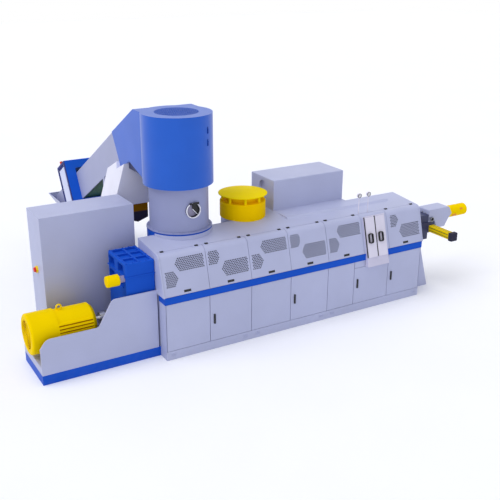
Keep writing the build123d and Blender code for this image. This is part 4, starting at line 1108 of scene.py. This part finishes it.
def motor_fins(work):
    """Cast cooling ribs, as proud as the cowl's skirt, and the skirt's end ring."""
    ribs(work, 7, 196.0, 281.0, 0.0)
    rows = ((255, 0), (281.5, 0), (281.5, 74), (255, 74))
    place = facing(ALONG, MOTOR_LEFT + SKIRT_END - SKIRT_LENGTH, MOTOR_Y, MOTOR_Z)
    turned(work, place, rows, 64, ring=True)


def fin_slots(work):
    """The shaded floors of the slots between the ribs."""
    ribs(work, 6, 206.0, 266.0, 2.0)


def cowl_grille(work):
    """The fan cowl's wire rings and spokes."""
    for k in range(WIRES):
        radius = 30 + WIRE_PITCH * k
        rows = [(radius + 3 * cos(t * pi / 3), 3 * sin(t * pi / 3)) for t in range(6)]
        turned(work, facing(-ALONG, MOTOR_LEFT + 4, MOTOR_Y, MOTOR_Z), rows, 48, ring=True)
    x = MOTOR_LEFT + 9
    for k in range(SPOKES):
        angle = radians(360 / SPOKES * k)
        start, end = (
            (x, MOTOR_Y + reach * cos(angle), MOTOR_Z + reach * sin(angle)) for reach in (24, 199)
        )
        rounded_bar(work, start, end, 3, 8)


def cowl_dark(work):
    """Painted shadow: a dark amber disc behind the grille, where the fan sits in shade."""
    rows = [(201, -0.5), (201, 0.4), (200, 0.8)]
    turned(work, facing(-ALONG, MOTOR_LEFT + 12, MOTOR_Y, MOTOR_Z), rows, 48)


shadow_coat = one_enamel("enamel_amber_shadow", "#A86C04", 60.0, 0.5, **CLEAN_YELLOW)
shaped("motor_fins", motor_fins, yellow_coat)
shaped("fin_slots", fin_slots, shadow_coat)
shaped("cowl_grille", cowl_grille, yellow_coat)
shaped("cowl_shadow", cowl_dark, shadow_coat)

CUTTER_RING = facing(-INTO, 5222, 464, 1090)
TUBE_HALF = 56.0
TUBE_MIDDLE = 205.0


def cutter_flange(work):
    """The pale ring on the pelletiser's bracket."""
    rows = ((30, 0), (30, 22), (32, 24), (39, 24), (41, 22), (41, 0))
    turned(work, CUTTER_RING, rows, 40, ring=True)


def cutter_bore(work):
    """A black disc inside the ring: painted shade in its bore."""
    turned(work, CUTTER_RING, [(30.5, 0), (30.5, 6), (30, 6.5)], 32)


def tube_slots(work):
    """Thin black strips along the yellow cylinder's tube: painted shade of its guide slots."""
    low, high = spot("changer_cylinder", 0), spot("changer_cylinder", 1)
    x, z = (low.x + high.x) / 2, (low.z + high.z) / 2
    for shift in (-24, 24):
        for way in (UP, -ALONG, ALONG):
            face_x, face_z = x + TUBE_HALF * way.x, z + TUBE_HALF * way.z
            place = facing(way, face_x, TUBE_MIDDLE, face_z, INTO)
            plate_on(work, place, 9, 440, 1.2, 0.3, x=shift)


shaped("cutter_flange", cutter_flange, zinc)
shaped("cutter_bore", cutter_bore, seal_rubber_and_shade)
shaped("tube_slots", tube_slots, seal_rubber_and_shade)


def motor_plates(work):
    """Two blank orange plates on the cutter motor."""
    plate_on(work, facing((0, -0.9, 0.45), 5952, 508, 1158), 64, 34, 5, 1)
    plate_on(work, facing(-INTO, 5790, 502, 1070), 92, 34, 6, 2)


rating_plate = one_enamel("anodised_orange_plate", "#E8940F", 60.0, 0.35)
shaped("motor_plates", motor_plates, rating_plate)


# Small hardware

HEAD_SHARE = 0.55


def bolted(name, groups, coat):
    """Hexagon bolts from groups of (places, ways, width across flats)."""
    parts = [
        grown(
            name, spots(name, places, ways), BOLTING,
            Width=width * MM, Height=width * HEAD_SHARE * MM, Finish=coat,
        )
        for places, ways, width in groups
    ]
    settle(name, joined(name, parts), coat)


def circle_of(count, radius, centre, way, first=0.0):
    """Places evenly round a circle that looks one way, in millimetres."""
    stand = facing(way, 0, 0, 0)
    side, upper = stand.col[0].to_3d(), stand.col[1].to_3d()
    angles = [first + 2 * pi * k / count for k in range(count)]
    return [tuple(Vector(centre) + (side * cos(a) + upper * sin(a)) * radius) for a in angles]


# The drum's flange, the gearbox's top rim, the gate's two ends and the pelletiser's face
FLANGE = circle_of(24, 452, (DRUM.x, DRUM.y, 1640), UP, 0.13)
RIM_LEFT, RIM_RIGHT, RIM_TOP = -425.6, -45.6, 1440.0
RIM = [(RIM_LEFT + 95 * k, y, RIM_TOP) for k in range(5) for y in (270, 870)]
RIM += [(x, 390 + 120 * k, RIM_TOP) for k in range(4) for x in (RIM_LEFT, RIM_RIGHT)]
CORNERS = [
    beside_belt(x, GATE_RUN + 174 * a, GATE_RISE + 366 * b)
    for x in (gate_left + 2, gate_right - 2) for a in (-1, 1) for b in (-1, 0, 1)
]
CHAMBER = circle_of(8, 108, (5160, 600, 1086), -ALONG, 0.3)
bolted("flange_bolts", [(FLANGE, [UP] * len(FLANGE), 20.0)], drum_coat)
bolted("gearbox_bolts", [(RIM, [UP] * len(RIM), 15.0)], blue_coat)
bolted(
    "zinc_bolts",
    [
        (CORNERS, [-ALONG if x < DRUM.x else ALONG for x, _, _ in CORNERS], 13.0),
        (CHAMBER, [-ALONG] * len(CHAMBER), 15.0),
    ],
    zinc,
)

# The walls behind: the cabinet's doors, the rear room and the housing
CABINET_BACK = 1630.0
ROOM_BACK = 1568.0
CABINET_DOORS_X, ROOM_PANELS_X = (-985, -303), (2120, 3150)
HANDLE_X, HANDLE_Z = (-674, -614), 1040
HINGE_X, HINGE_Z = (-1300, 12), (240, 1000, 1760)
LOCK_Z = (260, 1380)


def louvres(name):
    """Pressed ventilation lips in the toe, the cabinet's doors and the back walls."""
    toe = [(x, 0, 62 + 11 * k) for x in (104, 1257, 1468, 2614, 2819, 4490) for k in range(4)]
    wide = [(x, CABINET_BACK, 240 + 24 * k) for x in CABINET_DOORS_X for k in range(8)]
    wide += [(x, CABINET_BACK, 1640 + 24 * k) for x in CABINET_DOORS_X for k in range(6)]
    wide += [(x, ROOM_BACK, 300 + 26 * k) for x in ROOM_PANELS_X for k in range(10)]
    wide += [(4090, DEPTH, 320 + 26 * k) for k in range(10)]
    parts = [
        grown(
            name, spots(name, places), SLATTING,
            Length=length * MM, Height=height * MM, Depth=height * 1.3 * MM, Finish=lilac_coat,
        )
        for places, length, height in ((toe, 70, 6), (wide, 260, 14))
    ]
    return joined(name, parts)


settle("louvres", louvres("louvres"), lilac_coat)


def back_hardware(work):
    """Swing handles, hinges and quarter-turn locks on the doors behind."""
    for x in HANDLE_X:
        place = facing(INTO, x, CABINET_BACK, HANDLE_Z)
        plate_on(work, place, 30, 150, 8, 2)
        plate_on(work, place @ Matrix.Translation((0, 0, 8 * MM)), 18, 118, 14, 4, y=-8)
    for x in HINGE_X:
        for z in HINGE_Z:
            rounded_bar(work, (x, CABINET_BACK, z - 45), (x, CABINET_BACK, z + 45), 9)
    behind = [(x, ROOM_BACK) for x in (1760, 2600, 3570)] + [(x, DEPTH) for x in (4530, 3660)]
    for x, y in behind:
        for z in LOCK_Z:
            place = facing(INTO, x, y, z)
            turned(work, place, [(15, 0), (15, 4), (12, 6)], 24)
            plate_on(work, place, 5, 18, 9, 1)


shaped("back_hardware", back_hardware, black_nylon)


# Floor, light and camera

# The floor lies a hair under the machine, so that their faces don't fight.
FLOOR_HALF = 60.0
FLOOR_SUNK = 0.0005
CAMERA_GLOW = 0.08
AMBIENT = 0.69
SUN_COLOUR = (1.0, 0.985, 0.96)
# Each light's strength, its spread in degrees and where it stands
LIGHTS = (
    ("softbox", 1.32, 48.0, (-0.48, 0.05, 0.86)),
    ("front_fill", 0.2, 60.0, (-0.35, -0.85, 0.4)),
)


def laid_floor():
    """A wide white floor that belongs to the stage and not to the machine."""
    corners = ((-1, -1), (1, -1), (1, 1), (-1, 1))
    mesh = flat("floor", [(a * FLOOR_HALF, b * FLOOR_HALF, -FLOOR_SUNK) for a, b in corners])
    floor = bpy.data.objects.new("floor", mesh)
    bpy.context.scene.collection.objects.link(floor)
    # Sealed screed: even and matt. Its own small light is for the camera alone.
    screed = finish(
        "sealed_white_screed", lambda tree: tinted(tree, "#F6F7FB", 1500.0, 0.01), 0.8, 12.0, 0.05
    )
    tree = screed.node_tree
    shader = tree.nodes["Principled BSDF"]
    shader.inputs["Emission Color"].default_value = colour("#FFFFFF")
    seen = add(tree, "ShaderNodeLightPath").outputs["Is Camera Ray"]
    glow = add(tree, "ShaderNodeMath", {0: seen, 1: CAMERA_GLOW}, operation="MULTIPLY").outputs[0]
    tree.links.new(glow, shader.inputs["Emission Strength"])
    mesh.materials.append(screed)


def studio():
    """White surroundings for camera, mirrors and glass, and a softer light on the rest."""
    world = bpy.data.worlds.new("studio")
    bpy.context.scene.world = world
    world.use_nodes = True
    tree = world.node_tree
    tree.nodes.clear()
    seen = add(tree, "ShaderNodeLightPath").outputs
    direct = seen["Is Camera Ray"]
    for ray in ("Is Glossy Ray", "Is Transmission Ray"):
        direct = add(
            tree, "ShaderNodeMath", {0: direct, 1: seen[ray]}, operation="MAXIMUM"
        ).outputs[0]
    soft, white = (
        add(tree, "ShaderNodeBackground", {"Color": colour(shade), "Strength": power}).outputs[0]
        for shade, power in (("#EEF1FC", AMBIENT), ("#FFFFFF", 1.0))
    )
    both = add(tree, "ShaderNodeMixShader", {0: direct, 1: soft, 2: white}).outputs[0]
    add(tree, "ShaderNodeOutputWorld", {"Surface": both})


def lights():
    """Two broad suns: the soft box above the motor end and a weak fill in front."""
    for name, energy, spread, towards in LIGHTS:
        sun = bpy.data.lights.new(name, "SUN")
        sun.energy = energy
        sun.angle = radians(spread)
        sun.color = SUN_COLOUR
        lamp = bpy.data.objects.new(name, sun)
        towards = Vector(towards).normalized()
        lamp.rotation_euler = towards.to_track_quat("Z", "Y").to_euler()
        lamp.location = towards * 12
        bpy.context.scene.collection.objects.link(lamp)


# The camera as fitted to the photograph's edges
EYE = (-3937.5, -8795.4, 5220.7)
YAW, PITCH, ROLL = radians(30.9), radians(20.43), radians(0.31)
FOCAL_LENGTH = 55.92


def camera():
    """The photograph's view: from the motor end, above, with a moderate lens."""
    forward = Vector((sin(YAW) * cos(PITCH), cos(YAW) * cos(PITCH), -sin(PITCH)))
    level = Vector((cos(YAW), -sin(YAW), 0))
    upright = level.cross(forward)
    right = level * cos(ROLL) + upright * sin(ROLL)
    up = upright * cos(ROLL) - level * sin(ROLL)
    lens = bpy.data.cameras.new("view")
    lens.lens = FOCAL_LENGTH
    lens.sensor_width = 36.0
    lens.clip_end = 300.0
    eye = bpy.data.objects.new("view", lens)
    stand = Matrix((right, up, -forward)).transposed().to_4x4()
    stand.translation = at(*EYE)
    eye.matrix_world = stand
    bpy.context.scene.collection.objects.link(eye)
    bpy.context.scene.camera = eye


laid_floor()
studio()
lights()
camera()
bpy.context.scene.view_settings.view_transform = "Standard"
